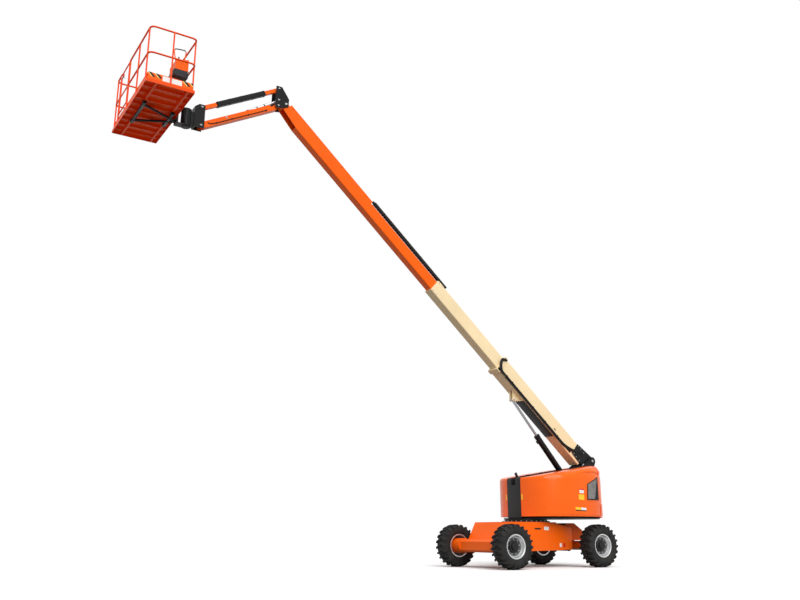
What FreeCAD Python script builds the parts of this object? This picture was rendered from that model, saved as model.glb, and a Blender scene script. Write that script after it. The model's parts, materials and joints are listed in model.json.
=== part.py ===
"""Telescopic boom lift with a jib: chassis, turntable, three boom sections, parallelogram jib and platform.

Row frame in millimetres: origin on the ground under the swing centre, +X the way the boom points,
+Y to the left of the boom, +Z up. The drive axle is at +X and the steer axle at -X.
Boom pieces are drawn level, in boom coordinates (along, across, normal), and raised at the end.
"""
import FreeCAD, Part
import math
import os
os.makedirs("parts", exist_ok=True)

V = FreeCAD.Vector
Y_AXIS = V(0, 1, 0)
Z_AXIS = V(0, 0, 1)

# ---- running gear -------------------------------------------------------------------------
WHEELBASE = 2490
TRACK = 1980
TYRE_DIA = 920
TYRE_WIDTH = 340
TYRE_SIDES = 16
TYRE_CROWN = 0.985
RIM_FLANGE_DIA = 500
RIM_WALL = 12
RIM_DISC_OUT = 40
RIM_SIDES = 16
HUB_SIDES = 12
LUG_COUNT = 16
LUG_HEIGHT = 28
LUG_HALF_TURN = 4.1
HUB_DIA = 250
HUB_BORE_GAP = 0.3
WHEEL_GAP = 6
AXLE_Z = TYRE_DIA / 2
DRIVE_X = WHEELBASE / 2
STEER_X = -WHEELBASE / 2

# ---- chassis ------------------------------------------------------------------------------
FRAME_HALF_WIDTH = 600
FRAME_TOP = 965
FRAME_BOTTOM = 345
FRAME_WALL = 16
FRAME_DRIVE_END_TOP = 980
FRAME_DRIVE_END_LOW = 1180
FRAME_STEER_END = -960
FRAME_STEER_TOP = 845
NECK_HALF_WIDTH = 260
NECK_END = -1480
NECK_SLOPE_START = -1230
NECK_LOW = 570
NECK_TOP = 950
NECK_END_TOP = 790
TIE_DOWN_HOLE_RADIUS = 22
AXLE_BEAM_HALF = 130
AXLE_WALL = 20
AXLE_BEAM_HEIGHT = 270
AXLE_BEAM_HALF_WIDTH = 660
STEER_BEAM_HALF = 95
STEER_BEAM_HEIGHT = 170
KINGPIN_Y = 700
KINGPIN_DIA = 60
CLEVIS_DEPTH = 110
KNUCKLE_ARM = 210
TIE_ROD_DIA = 44
STEER_CYLINDER_DIA = 96

# ---- turntable ----------------------------------------------------------------------------
BEARING_DIA = 960
BEARING_TOP = 1035
DECK_THICKNESS = 25
DECK_LOW = BEARING_TOP
HOOD_LOW = 1085
TURRET_CENTRE = -780
TURRET_HALF_LENGTH = 1110
TURRET_HALF_WIDTH = 1030
TURRET_POWER = 2.6
TURRET_STEPS = 32
TURRET_TOP_NOSE = 1930
TURRET_TOP_TAIL = 2290
SHOULDER_NOSE, SHOULDER_TAIL = 60, 360
SHOULDER_IN_NOSE, SHOULDER_IN_TAIL = 45, 260
SHOULDER_IN_END = 0.4
BASE_HEIGHT, BASE_WIDTH, BASE_WALL = 380, 310, 10
TAIL_CHEEK, TROUGH_GAP = 26, 24
TROUGH_HALF = BASE_WIDTH / 2 + TAIL_CHEEK + TROUGH_GAP
UPRIGHT_THICKNESS = 20
HOOD_INNER = TROUGH_HALF + UPRIGHT_THICKNESS + 12
HOOD_WALL = 12
PLATE_FRONT = 300
LEAF_DROP = 30
HOOD_REAR = -1440
HOOD_GAP = 12
VENT_SLAT, VENT_PITCH = 16, 72
COVER_HALF = HOOD_INNER - 6
COVER_NOTCH = 65
WEIGHT_POCKET = 200
EXHAUST_DIA = 62
EXHAUST_X, EXHAUST_INSET = -60, 60

# ---- boom ---------------------------------------------------------------------------------
BOOM_ANGLE = 41.3
PIVOT = V(-1980, 0, 2400)
PIVOT_PIN_DIA = 80
BOOM_DROP = 158
COLLAR_HEIGHT, COLLAR_WIDTH, COLLAR_LENGTH = BASE_HEIGHT + 40, BASE_WIDTH + 25, 110
MID_PAD_HEIGHT, MID_PAD_WIDTH, MID_WALL = 20, 17.5, 9
MID_HEIGHT = BASE_HEIGHT - 2 * BASE_WALL - 2 * MID_PAD_HEIGHT
MID_WIDTH = BASE_WIDTH - 2 * BASE_WALL - 2 * MID_PAD_WIDTH
FLY_PAD_HEIGHT, FLY_PAD_WIDTH, FLY_WALL = 21, 18.5, 8
FLY_HEIGHT = MID_HEIGHT - 2 * MID_WALL - 2 * FLY_PAD_HEIGHT
FLY_WIDTH = MID_WIDTH - 2 * MID_WALL - 2 * FLY_PAD_WIDTH
BASE_START, BASE_END = 250, 3420
MID_LENGTH, MID_END = 3350, 5850
FLY_LENGTH, FLY_END = 5750, 11010
TRAY_HEIGHT, TRAY_WIDTH = 78, 120
TRAY_START = 8170
TRACK_START, TRACK_LOW, TRACK_HEIGHT, TRACK_WIDTH = 5560, 62, 70, 84
LIFT_LUG_ALONG, LIFT_LUG_BELOW = 2570, 135
LIFT_BASE = V(-1735, 0, 1457)
LIFT_BARREL_DIA, LIFT_ROD_DIA, LIFT_PIN_DIA = 130, 60, 40
LIFT_BARREL_LENGTH = 1960
LIFT_ROD_INSIDE = 930
LIFT_EYE_WIDTH = 60
LIFT_FOOT_PIN_DIA = 60
LIFT_BARREL_HOLLOW = 300

# ---- jib ----------------------------------------------------------------------------------
TIP_ALONG, TIP_NORMAL = 10980, -90
TIP_PIN_DIA = 50
JIB_ANGLE = -29.0
JIB_LENGTH = 1860
JIB_ROOT = V(172, 0, -79)
JIB_SPREAD = 400
JIB_ARM_WIDTH, JIB_ARM_HEIGHT, JIB_ARM_WALL = 150, 130, 8
JIB_LINK_WIDTH, JIB_LINK_HEIGHT, JIB_LINK_WALL = 84, 80, 6
JIB_PIN_DIA = 36
SLEEVE_START, SLEEVE_END, SLEEVE_PROUD = 330, 1500, 14
JIB_CYLINDER_RISE = 130
JIB_LUG_ALONG, JIB_LUG_RISE = 1250, 30
JIB_BARREL_DIA, JIB_ROD_DIA = 66, 40
JIB_BARREL_LENGTH = 760
JIB_ROD_INSIDE = 300
JIB_ROD_EYE_WIDTH = 44
JIB_LUG_PIN_DIA = 30
JIB_EYE_RADIUS = 45
BRACKET_PLATE = 14
BRACKET_GAP = 5

# ---- platform -----------------------------------------------------------------------------
ROTATOR_REACH = 290
ROTATOR_DIA, ROTATOR_HEIGHT = 210, 330
PLATFORM_LENGTH, PLATFORM_WIDTH = 2440, 910
PLATFORM_OFFSET = 230
PLATFORM_FLOOR_DROP = 60
FLOOR_THICKNESS = 60
RAIL_HEIGHT = 1100
RAIL_DIA = 34
POST_DIA = 30
GATE_BAR_DIA = 26
TOE_HEIGHT = 150
TOE_THICKNESS = 6
GATE_WIDTH = 620
GATE_GAP = 12
CORNER_RADIUS = 90
HOSE_DIA = 21.4
CONSOLE_LOW, CABINET_HEIGHT = 450, 140
GUARD_DIA = 24


# ---- small helpers ------------------------------------------------------------------------
def box(x0, x1, y0, y1, z0, z1):
    return Part.makeBox(x1 - x0, y1 - y0, z1 - z0, V(x0, y0, z0))


def round_rod(start, end, diameter):
    return Part.makeCylinder(diameter / 2, (end - start).Length, start, end - start)


def rod(start, end, diameter):
    """A bar with flats: twelve on a thin pin, more on a thick boss."""
    sides = 12 if diameter < 45 else 16 if diameter < 120 else 24
    return tube_run([start, end], diameter, sides)


def across(x, z, diameter, y0, y1):
    return rod(V(x, y0, z), V(x, y1, z), diameter)


def upright(x, y, diameter, z0, z1):
    return rod(V(x, y, z0), V(x, y, z1), diameter)


def flat_quad(a, b, c, d):
    """One flat face through four corners, or two where they don't lie in a plane."""
    if abs((b - a).cross(c - a).normalize().dot(d - a)) < 0.001:
        return [Part.Face(Part.makePolygon([a, b, c, d, a]))]
    return [Part.Face(Part.makePolygon([a, b, c, a])), Part.Face(Part.makePolygon([a, c, d, a]))]


def skinned(rings):
    """A closed form with flat faces through rings of equally many corners."""
    faces = [Part.Face(Part.makePolygon(ring + ring[:1])) for ring in (rings[0], rings[-1])]
    for near, far in zip(rings, rings[1:]):
        for i in range(len(near)):
            faces += flat_quad(near[i - 1], near[i], far[i], far[i - 1])
    shell = Part.makeShell(faces)
    shell.sewShape()
    solid = Part.makeSolid(shell)
    return solid if solid.Volume > 0 else solid.reversed()


def flat_ring(y, radius, sides):
    """A regular polygon about the Y axis, with its flats at the given radius and one of them below."""
    corner = radius / math.cos(math.pi / sides)
    turns = [2 * math.pi * (i + 0.5) / sides for i in range(sides)]
    return [V(corner * math.sin(turn), y, -corner * math.cos(turn)) for turn in turns]


def flat_turned(stations, sides):
    """A turned form about Y made of flats, through (y, radius) stations."""
    return skinned([flat_ring(y, radius, sides) for y, radius in stations])


def bore(x, z, diameter, y0, y1):
    """A cutter along Y with twelve flats that just clear a round pin of this diameter."""
    return tube_run([V(x, y0, z), V(x, y1, z)], diameter / math.cos(math.pi / 12), 12)


def upright_bore(x, y, diameter, z0, z1):
    return tube_run([V(x, y, z0), V(x, y, z1)], diameter / math.cos(math.pi / 12), 12)


def tube_rings(points, diameter, sides=8):
    """Sections of a bar with flats along straight runs, mitred at each turn."""
    rings = []
    for i, point in enumerate(points):
        before = points[max(i, 1)] - points[max(i, 1) - 1]
        after = points[min(i + 1, len(points) - 1)] - points[min(i + 1, len(points) - 1) - 1]
        before.normalize()
        after.normalize()
        mitre = (before + after).normalize()
        side = before.cross(Z_AXIS if abs(before.z) < 0.9 else Y_AXIS).normalize()
        other = before.cross(side)
        ring = []
        for k in range(sides):
            turn = 2 * math.pi * (k + 0.5) / sides
            out = side * (math.cos(turn) * diameter / 2) + other * (math.sin(turn) * diameter / 2)
            ring.append(point + out - before * (out.dot(mitre) / before.dot(mitre)))
        rings.append(ring)
    return rings


def tube_run(points, diameter, sides=8):
    return skinned(tube_rings(points, diameter, sides))


def side_plate(points, y0, y1):
    """An outline in the XZ plane, extruded along Y."""
    wire = Part.makePolygon([V(x, y0, z) for x, z in points + points[:1]])
    return Part.Face(wire).extrude(V(0, y1 - y0, 0))


def flat_plate(points, z0, z1):
    """An outline in the XY plane, extruded along Z."""
    wire = Part.makePolygon([V(x, y, z0) for x, y in points + points[:1]])
    return Part.Face(wire).extrude(V(0, 0, z1 - z0))


def fuse(*shapes):
    return shapes[0].multiFuse(list(shapes[1:])).removeSplitter()


def mirrored(shape):
    """The same piece on the other side of the centre plane."""
    return shape.mirror(V(0, 0, 0), Y_AXIS)


def both_sides(shape):
    return [shape, mirrored(shape)]


def box_tube(length_start, length_end, height, width, wall, centre, radius):
    """A hollow boom section along X with rounded long edges, open at both ends."""
    def bar(inset):
        half_width = width / 2 - inset
        half_height = height / 2 - inset
        solid = box(length_start, length_end, -half_width, half_width,
                    centre - half_height, centre + half_height)
        if inset:
            return solid
        long_edges = [e for e in solid.Edges if e.Length > (length_end - length_start) - 1]
        return solid.makeFillet(radius, long_edges)
    return bar(0).cut(bar(wall))


def ring(length_start, length_end, outer_height, outer_width, inner_height, inner_width, centre):
    """A rectangular frame across a boom section: a collar or a set of wear pads."""
    def block(height, width):
        return box(length_start, length_end, -width / 2, width / 2,
                   centre - height / 2, centre + height / 2)
    return block(outer_height, outer_width).cut(block(inner_height, inner_width))


def turned(shape, origin, angle):
    """A piece drawn level at the origin, raised by angle degrees and put at its place."""
    placed = shape.copy()
    placed.Placement = FreeCAD.Placement(origin, FreeCAD.Rotation(Y_AXIS, -angle)).multiply(placed.Placement)
    return placed


def on_boom(shape):
    return turned(shape, PIVOT, BOOM_ANGLE)


def point_on(origin, angle, along, normal):
    turn = math.radians(angle)
    return origin + V(along * math.cos(turn) - normal * math.sin(turn), 0,
                      along * math.sin(turn) + normal * math.cos(turn))


def write(node, *shapes):
    solids = [solid for shape in shapes for solid in shape.Solids]
    Part.makeCompound(solids).exportStep("parts/" + node + ".step")


TIP = point_on(PIVOT, BOOM_ANGLE, TIP_ALONG, TIP_NORMAL)
JIB_FOOT = TIP + JIB_ROOT
JIB_END = point_on(JIB_FOOT, JIB_ANGLE, JIB_LENGTH, 0)
LIFT_EYE = point_on(PIVOT, BOOM_ANGLE, LIFT_LUG_ALONG, -BOOM_DROP - BASE_HEIGHT / 2 - LIFT_LUG_BELOW)
ROTATOR_X = JIB_END.x + ROTATOR_REACH
FLOOR_Z = JIB_END.z + PLATFORM_FLOOR_DROP
PLATFORM_X = ROTATOR_X + PLATFORM_OFFSET
SIDES = {"left": 1, "right": -1}


# ---- running gear -------------------------------------------------------------------------
def tread_half(reach, phase):
    """Lugs from the middle of the tread to one shoulder, drawn as one star."""
    outer = TYRE_DIA / 2
    top = outer / math.cos(math.radians(LUG_HALF_TURN))
    low = outer - LUG_HEIGHT
    def star(y, share):
        points = []
        for i in range(LUG_COUNT):
            middle = 2 * math.pi * (i + phase) / LUG_COUNT
            for radius, edge in ((low, -1.5), (top, -1), (top, 1), (low, 1.5)):
                turn = middle + math.radians(edge * LUG_HALF_TURN)
                points.append(V(radius * share * math.sin(turn), y, -radius * share * math.cos(turn)))
        return points
    return skinned([star(0, 1), star(reach, TYRE_CROWN)])


def tyre():
    """Foam filled traction tyre about Y; the lugs of its halves stand half a pitch apart."""
    outer = TYRE_DIA / 2
    half = TYRE_WIDTH / 2
    seat = RIM_FLANGE_DIA / 2 - 14
    bead = half - 42
    casing = flat_turned([(-half, seat + 90), (8 - half, outer - 55), (half - 8, outer - 55), (half, seat + 90)],
                         TYRE_SIDES)
    whole = fuse(casing, tread_half(half - 6, 0), tread_half(-half + 6, 0.5))
    recess = flat_turned([(bead, seat + 24), (half + 1, seat + 80)], TYRE_SIDES)
    return whole.cut(recess).cut(mirrored(recess)).cut(flat_turned([(-half, seat), (half, seat)], RIM_SIDES))


def rim(hole):
    """Deep dished wheel with a planetary hub on its outside; outside is +Y."""
    seat = RIM_FLANGE_DIA / 2 - 14
    bead = TYRE_WIDTH / 2 - 42
    lip = bead + 14
    inside = seat - RIM_WALL
    disc = RIM_DISC_OUT
    hub = HUB_DIA / 2
    barrel = flat_turned([(-lip, seat), (lip, seat)], RIM_SIDES)
    flanges = [flat_turned([(y, seat + 14), (y + 14, seat + 14)], RIM_SIDES) for y in (-lip, bead)]
    dish = flat_turned([(disc + 26, inside - 46), (lip - 30, inside - 6), (lip + 1, inside)], RIM_SIDES)
    back = flat_turned([(-lip - 1, inside), (disc, inside)], RIM_SIDES)
    cap = flat_turned([(disc + 25, hub), (disc + 78, hub - 12), (disc + 84, 60)], HUB_SIDES)
    body = fuse(barrel, *flanges).cut(dish).cut(back).fuse(cap).removeSplitter()
    return body.cut(flat_turned([(disc - 1, hole / 2), (disc + 60, hole / 2)], 10))


SPINDLE_DIA = 90
SPINDLE_END = TRACK / 2 + RIM_DISC_OUT + 56


def wheels():
    for axle, x in (("drive", DRIVE_X), ("steer", STEER_X)):
        for side, sign in SIDES.items():
            centre = V(x, TRACK / 2, AXLE_Z)
            for name, piece in (("tyre", tyre()), ("rim", rim(SPINDLE_DIA + 2 * HUB_BORE_GAP))):
                piece.translate(centre)
                placed = piece if sign > 0 else mirrored(piece)
                write(f"{name}_{axle}_{side}", placed)


def chassis_frame():
    """Welded box frame: sloped ends, tapered towards the steered wheels, with a neck over the steer axle."""
    beam_face = DRIVE_X - AXLE_BEAM_HALF
    beam_top = AXLE_Z + AXLE_BEAM_HEIGHT / 2
    outline = [(FRAME_DRIVE_END_TOP, FRAME_TOP), (FRAME_DRIVE_END_LOW, beam_top), (beam_face, beam_top),
               (beam_face, FRAME_BOTTOM), (FRAME_STEER_END, FRAME_BOTTOM + 25),
               (FRAME_STEER_END, FRAME_STEER_TOP), (-150, FRAME_TOP)]
    body = side_plate(outline, -FRAME_HALF_WIDTH, FRAME_HALF_WIDTH)
    narrow = 455
    plan = [(2000, FRAME_HALF_WIDTH), (-400, FRAME_HALF_WIDTH), (FRAME_STEER_END, narrow),
            (FRAME_STEER_END, -narrow), (-400, -FRAME_HALF_WIDTH), (2000, -FRAME_HALF_WIDTH)]
    body = body.common(flat_plate(plan, 0, 2000))
    hollow = [(FRAME_DRIVE_END_TOP - 2 * FRAME_WALL, FRAME_TOP - FRAME_WALL),
              (beam_face - FRAME_WALL, beam_top), (beam_face - FRAME_WALL, FRAME_BOTTOM + 2 * FRAME_WALL),
              (FRAME_STEER_END + FRAME_WALL, FRAME_BOTTOM + 3 * FRAME_WALL),
              (FRAME_STEER_END + FRAME_WALL, FRAME_STEER_TOP - FRAME_WALL), (-150, FRAME_TOP - FRAME_WALL)]
    inside = side_plate(hollow, -FRAME_HALF_WIDTH + FRAME_WALL, FRAME_HALF_WIDTH - FRAME_WALL)
    plan_inside = [(x, y - math.copysign(FRAME_WALL, y)) for x, y in plan]
    inside = inside.common(flat_plate(plan_inside, 0, 2000))
    body = body.cut(inside)
    w = FRAME_WALL
    neck_outline = [(FRAME_STEER_END + 2, NECK_LOW), (FRAME_STEER_END + 2, NECK_TOP),
                    (NECK_SLOPE_START, NECK_TOP), (NECK_END, NECK_END_TOP), (NECK_END, NECK_LOW)]
    neck = side_plate(neck_outline, -NECK_HALF_WIDTH, NECK_HALF_WIDTH)
    neck_inside = [(FRAME_STEER_END + 3, NECK_LOW + w), (FRAME_STEER_END + 3, NECK_TOP - w),
                   (NECK_SLOPE_START + 8, NECK_TOP - w), (NECK_END + w, NECK_END_TOP - w - 4),
                   (NECK_END + w, NECK_LOW + w)]
    neck = neck.cut(side_plate(neck_inside, -NECK_HALF_WIDTH + w, NECK_HALF_WIDTH - w))
    half = BEARING_DIA / 2
    mast = box(-half, half, -half, half, FRAME_TOP - 2 * w, FRAME_TOP - 1)
    lug = box(NECK_END - 70, NECK_END + w, -15, 15, NECK_LOW + 20, NECK_LOW + 120)
    hole = V(NECK_END - 35, -30, NECK_LOW + 70)
    lug = lug.cut(round_rod(hole, hole + V(0, 60, 0), 2 * TIE_DOWN_HOLE_RADIUS))
    ears = [box(x, x + 26, -90, 90, 400, 580) for x in (STEER_X + 105, STEER_X - 131)]
    pin = rod(V(STEER_X - 140, 0, AXLE_Z), V(STEER_X + 140, 0, AXLE_Z), 70)
    return fuse(body, neck, mast, lug, *ears, pin)


def drive_axle():
    beam = box(DRIVE_X - AXLE_BEAM_HALF, DRIVE_X + AXLE_BEAM_HALF, -AXLE_BEAM_HALF_WIDTH, AXLE_BEAM_HALF_WIDTH,
               AXLE_Z - AXLE_BEAM_HEIGHT / 2, AXLE_Z + AXLE_BEAM_HEIGHT / 2)
    edges = [e for e in beam.Edges if e.Length > 2 * AXLE_BEAM_HALF_WIDTH - 1 and e.CenterOfMass.x > DRIVE_X]
    beam = beam.makeChamfer(45, edges)
    w = AXLE_WALL
    beam = beam.cut(box(DRIVE_X - AXLE_BEAM_HALF + w, DRIVE_X + AXLE_BEAM_HALF - w, -AXLE_BEAM_HALF_WIDTH + w,
                        AXLE_BEAM_HALF_WIDTH - w, AXLE_Z - AXLE_BEAM_HEIGHT / 2 + w + 12,
                        AXLE_Z + AXLE_BEAM_HEIGHT / 2 - w - 12))
    drum_end = TRACK / 2 + RIM_DISC_OUT - WHEEL_GAP
    drum = across(DRIVE_X, AXLE_Z, 320, AXLE_BEAM_HALF_WIDTH - 20, drum_end)
    spindle = across(DRIVE_X, AXLE_Z, SPINDLE_DIA, drum_end - 1, SPINDLE_END)
    hub = fuse(drum, spindle)
    return fuse(beam, hub, mirrored(hub))


def steer_axle():
    """Oscillating beam with a clevis and kingpin at each end."""
    low = AXLE_Z - STEER_BEAM_HEIGHT / 2
    high = AXLE_Z + STEER_BEAM_HEIGHT / 2
    end = KINGPIN_Y - CLEVIS_DEPTH
    beam = box(STEER_X - STEER_BEAM_HALF, STEER_X + STEER_BEAM_HALF, -end, end, low, high)
    beam = beam.cut(rod(V(STEER_X - 200, 0, AXLE_Z), V(STEER_X + 200, 0, AXLE_Z), 70.6))
    plan = [(STEER_X - 70, end - 10), (STEER_X + 70, end - 10), (STEER_X + 70, KINGPIN_Y + 30),
            (STEER_X + 35, KINGPIN_Y + 70), (STEER_X - 35, KINGPIN_Y + 70), (STEER_X - 70, KINGPIN_Y + 30)]
    ears = [flat_plate(plan, z, z + 34) for z in (low, high - 34)]
    end_pieces = fuse(*ears, upright(STEER_X, KINGPIN_Y, KINGPIN_DIA, low + 30, high - 30))
    return fuse(beam, end_pieces, mirrored(end_pieces))


def knuckle():
    """Left steering knuckle: kingpin boss, stub axle, flange and steering arm."""
    low = AXLE_Z - STEER_BEAM_HEIGHT / 2 + 34 + 0.4
    high = AXLE_Z + STEER_BEAM_HEIGHT / 2 - 34 - 0.4
    drum_end = TRACK / 2 + RIM_DISC_OUT - WHEEL_GAP
    boss = box(STEER_X - 52, STEER_X + 52, KINGPIN_Y - 52, KINGPIN_Y + 60, low, high)
    boss = boss.makeChamfer(20, [e for e in boss.Edges if abs(e.Length - high + low) < 1
                                 and e.CenterOfMass.y < KINGPIN_Y])
    neck = box(STEER_X - 45, STEER_X + 45, KINGPIN_Y + 50, drum_end - 80, low + 6, high - 6)
    flange = across(STEER_X, AXLE_Z, 230, drum_end - 90, drum_end)
    spindle = across(STEER_X, AXLE_Z, SPINDLE_DIA, drum_end - 1, SPINDLE_END)
    arm_plan = [(STEER_X, KINGPIN_Y - 30), (STEER_X + KNUCKLE_ARM + 10, KINGPIN_Y - 30),
                (STEER_X + KNUCKLE_ARM + 32, KINGPIN_Y - 12), (STEER_X + KNUCKLE_ARM + 32, KINGPIN_Y + 12),
                (STEER_X + KNUCKLE_ARM + 10, KINGPIN_Y + 30), (STEER_X, KINGPIN_Y + 30)]
    body = fuse(boss, neck, flange, spindle, flat_plate(arm_plan, low, low + 30))
    return body.cut(upright_bore(STEER_X, KINGPIN_Y, KINGPIN_DIA + 0.6, 0, 900))


def tie_rod():
    """Cross rod in front of the steer axle, with an eye under each knuckle arm."""
    x = STEER_X + KNUCKLE_ARM
    low = AXLE_Z - STEER_BEAM_HEIGHT / 2 + 34 + 0.4
    bar = across(x, low - 26, TIE_ROD_DIA, -KINGPIN_Y, KINGPIN_Y)
    eyes = [box(x - 27, x + 27, y - 27, y + 27, low - 52, low - 0.4) for y in (KINGPIN_Y, -KINGPIN_Y)]
    return fuse(bar, *eyes)


def steer_cylinder():
    """Fixed barrel around the cross rod, carried by two brackets on the steer beam."""
    x = STEER_X + KNUCKLE_ARM
    z = AXLE_Z - STEER_BEAM_HEIGHT / 2 + 34 + 0.4 - 26
    barrel = across(x, z, STEER_CYLINDER_DIA, -260, 260)
    barrel = barrel.cut(bore(x, z, TIE_ROD_DIA + 0.6, -300, 300))
    brackets = [box(STEER_X + STEER_BEAM_HALF, x - TIE_ROD_DIA / 2 - 6, y - 15, y + 15, z - 34, z + 34)
                for y in (-190, 190)]
    return fuse(barrel, *brackets)


def swing_bearing():
    """Slewing ring between the chassis and the deck."""
    def disc(diameter, sides, z0, z1):
        turns = [2 * math.pi * i / sides for i in range(sides)]
        return flat_plate([(diameter / 2 * math.cos(t), diameter / 2 * math.sin(t)) for t in turns], z0, z1)
    return disc(BEARING_DIA, 48, FRAME_TOP, BEARING_TOP).cut(disc(BEARING_DIA - 260, 24, 0, 2000))


# ---- turntable ----------------------------------------------------------------------------
def turret_ring(inset, level=None, turn_up=0.0):
    """The rounded plan of the upper works, a superellipse, at a level or on its sloping shoulder.

    turn_up runs from 0 at the shoulder's crease to 90 at the top; the shoulder grows towards the tail.
    """
    a = TURRET_HALF_LENGTH - inset
    b = TURRET_HALF_WIDTH - inset
    points = []
    for i in range(TURRET_STEPS):
        turn = 2 * math.pi * (i + 0.5) / TURRET_STEPS
        c, s = math.cos(turn), math.sin(turn)
        x = a * math.copysign(abs(c) ** (2 / TURRET_POWER), c)
        y = b * math.copysign(abs(s) ** (2 / TURRET_POWER), s)
        if level is not None:
            points.append(V(TURRET_CENTRE + x, y, level))
            continue
        back = (1 - x / TURRET_HALF_LENGTH) / 2
        rise = math.radians(turn_up)
        pull = (SHOULDER_IN_NOSE + (SHOULDER_IN_TAIL - SHOULDER_IN_NOSE) * back) * (1 - math.cos(rise))
        x *= 1 - SHOULDER_IN_END * pull / TURRET_HALF_LENGTH
        y *= 1 - pull / TURRET_HALF_WIDTH
        back = (1 - x / TURRET_HALF_LENGTH) / 2
        drop = (SHOULDER_NOSE + (SHOULDER_TAIL - SHOULDER_NOSE) * back) * (1 - math.sin(rise))
        top = TURRET_TOP_NOSE + (TURRET_TOP_TAIL - TURRET_TOP_NOSE) * back
        points.append(V(TURRET_CENTRE + x, y, top - inset - drop))
    return points


def turret_form(inset, low):
    """The whole upper works as one closed form: straight wall, rounded shoulder and flat sloping top."""
    rings = [turret_ring(inset, low)]
    rings += [turret_ring(inset, None, rise) for rise in (0, 30, 60, 90)]
    return skinned(rings)


def turret_top(x):
    """Height of the sloping top of the upper works."""
    back = (TURRET_CENTRE + TURRET_HALF_LENGTH - x) / (2 * TURRET_HALF_LENGTH)
    return TURRET_TOP_NOSE + (TURRET_TOP_TAIL - TURRET_TOP_NOSE) * back


def under_top(drop, x0, x1, y0, y1, low):
    """Everything under the sloping top line of the upper works."""
    return side_plate([(x0, low), (x1, low), (x1, turret_top(x1) - drop), (x0, turret_top(x0) - drop)], y0, y1)


def hood():
    """Left hood: a hollow shell, open below and towards the centre, with the air vent cut at its rear."""
    front = TURRET_CENTRE + TURRET_HALF_LENGTH
    side = TURRET_HALF_WIDTH
    outer = turret_form(0, HOOD_LOW).common(box(HOOD_REAR, front + 9, HOOD_INNER, side + 9, HOOD_LOW, 2600))
    inner = turret_form(HOOD_WALL, HOOD_LOW - 1).common(
        box(HOOD_REAR + HOOD_WALL, front, HOOD_INNER - 1, side, HOOD_LOW - 1, 2600))
    shell = outer.cut(inner)
    corners = [(-1330, 1470), (-1010, 1470), (-1010, 1760), (-1300, 1900)]
    vent = side_plate(corners, 700, 1200)
    slats = [box(-1400, -950, 690, 1210, z, z + VENT_SLAT) for z in range(1540, 1870, VENT_PITCH)]
    return shell.cut(vent.cut(Part.makeCompound(slats)))


def right_hood():
    """The same shell mirrored, whole at the rear, with a notch for the exhaust in its inner edge."""
    gap = EXHAUST_DIA / 2 + 20
    notch = box(EXHAUST_X - gap, EXHAUST_X + 60 + gap, -HOOD_INNER - EXHAUST_INSET - gap - 40, -HOOD_INNER + 10,
                1850, 2300)
    return mirrored(hood()).cut(notch)


def turntable_frame():
    """Deck and two upright plates that carry the boom pivot and the foot of the lift cylinder."""
    low = DECK_LOW + 0.3
    deck = skinned([turret_ring(60, low), turret_ring(60, low + DECK_THICKNESS)])
    tail_x = TURRET_CENTRE - TURRET_HALF_LENGTH + 10
    y0, y1 = TROUGH_HALF, TROUGH_HALF + UPRIGHT_THICKNESS
    outline = [(PLATE_FRONT, low + 10), (PLATE_FRONT, turret_top(PLATE_FRONT) - LEAF_DROP),
               (-1560, turret_top(-1560) - LEAF_DROP), (PIVOT.x + 60, PIVOT.z + 70), (PIVOT.x + 20, PIVOT.z + 95),
               (PIVOT.x - 40, PIVOT.z + 90), (PIVOT.x - 85, PIVOT.z + 45), (PIVOT.x - 92, PIVOT.z - 20),
               (tail_x, 1900), (tail_x, low + 10)]
    plate = side_plate(outline, y0, y1)
    hole = bore(PIVOT.x, PIVOT.z, PIVOT_PIN_DIA + 0.6, 0, 400)
    leaf = under_top(3, -1430, 240, y1 - 1, HOOD_INNER - 0.3, 1500)
    leaf = leaf.cut(under_top(LEAF_DROP + 15, -1500, 400, 0, 400, 1400))
    window = side_plate([(-1180, 1330), (-420, 1330), (-420, 1640), (-1180, 1700)], 0, 400)
    plate = plate.fuse(leaf).removeSplitter().cut(hole).cut(window)
    foot_pin = across(LIFT_BASE.x, LIFT_BASE.z, LIFT_FOOT_PIN_DIA, -TROUGH_HALF, TROUGH_HALF)
    return fuse(deck, plate, mirrored(plate), foot_pin)


def counterweight():
    """Cast side weights behind the hoods, with a lower block between the upright plates."""
    low = DECK_LOW + 0.3 + DECK_THICKNESS
    tail = TURRET_CENTRE - TURRET_HALF_LENGTH - 5
    rear = HOOD_REAR - HOOD_GAP
    inner = TROUGH_HALF + UPRIGHT_THICKNESS
    side = turret_form(0, low).common(box(tail, rear, inner, TURRET_HALF_WIDTH + 10, low, 2600))
    pocket = box(rear - WEIGHT_POCKET, rear + 1, inner + 60, 690, low + 80, 2010)
    side = side.cut(pocket)
    centre = skinned([turret_ring(0, low), turret_ring(0, 1290)])
    centre = centre.common(box(tail, -1500, -TROUGH_HALF, TROUGH_HALF, low, 1290))
    return both_sides(side) + [centre]


def engine_block():
    low = DECK_LOW + 0.3 + DECK_THICKNESS
    block = box(-1250, -500, 330, 780, low, low + 620)
    return block.makeChamfer(40, [e for e in block.Edges if e.CenterOfMass.z > low + 600])


def centre_cover():
    """Curved front cover between the hoods, notched at its top for the lowered lift cylinder."""
    low = DECK_LOW + 0.3 + DECK_THICKNESS
    form = turret_form(0, low)
    between = form.common(box(250, 400, -TROUGH_HALF, TROUGH_HALF, low, 2200))
    front = form.common(box(PLATE_FRONT + 1, 400, -COVER_HALF, COVER_HALF, low, 2200))
    notch = box(200, 400, -COVER_NOTCH, COVER_NOTCH, 1780, 2300)
    return fuse(between, front).cut(notch)


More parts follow.
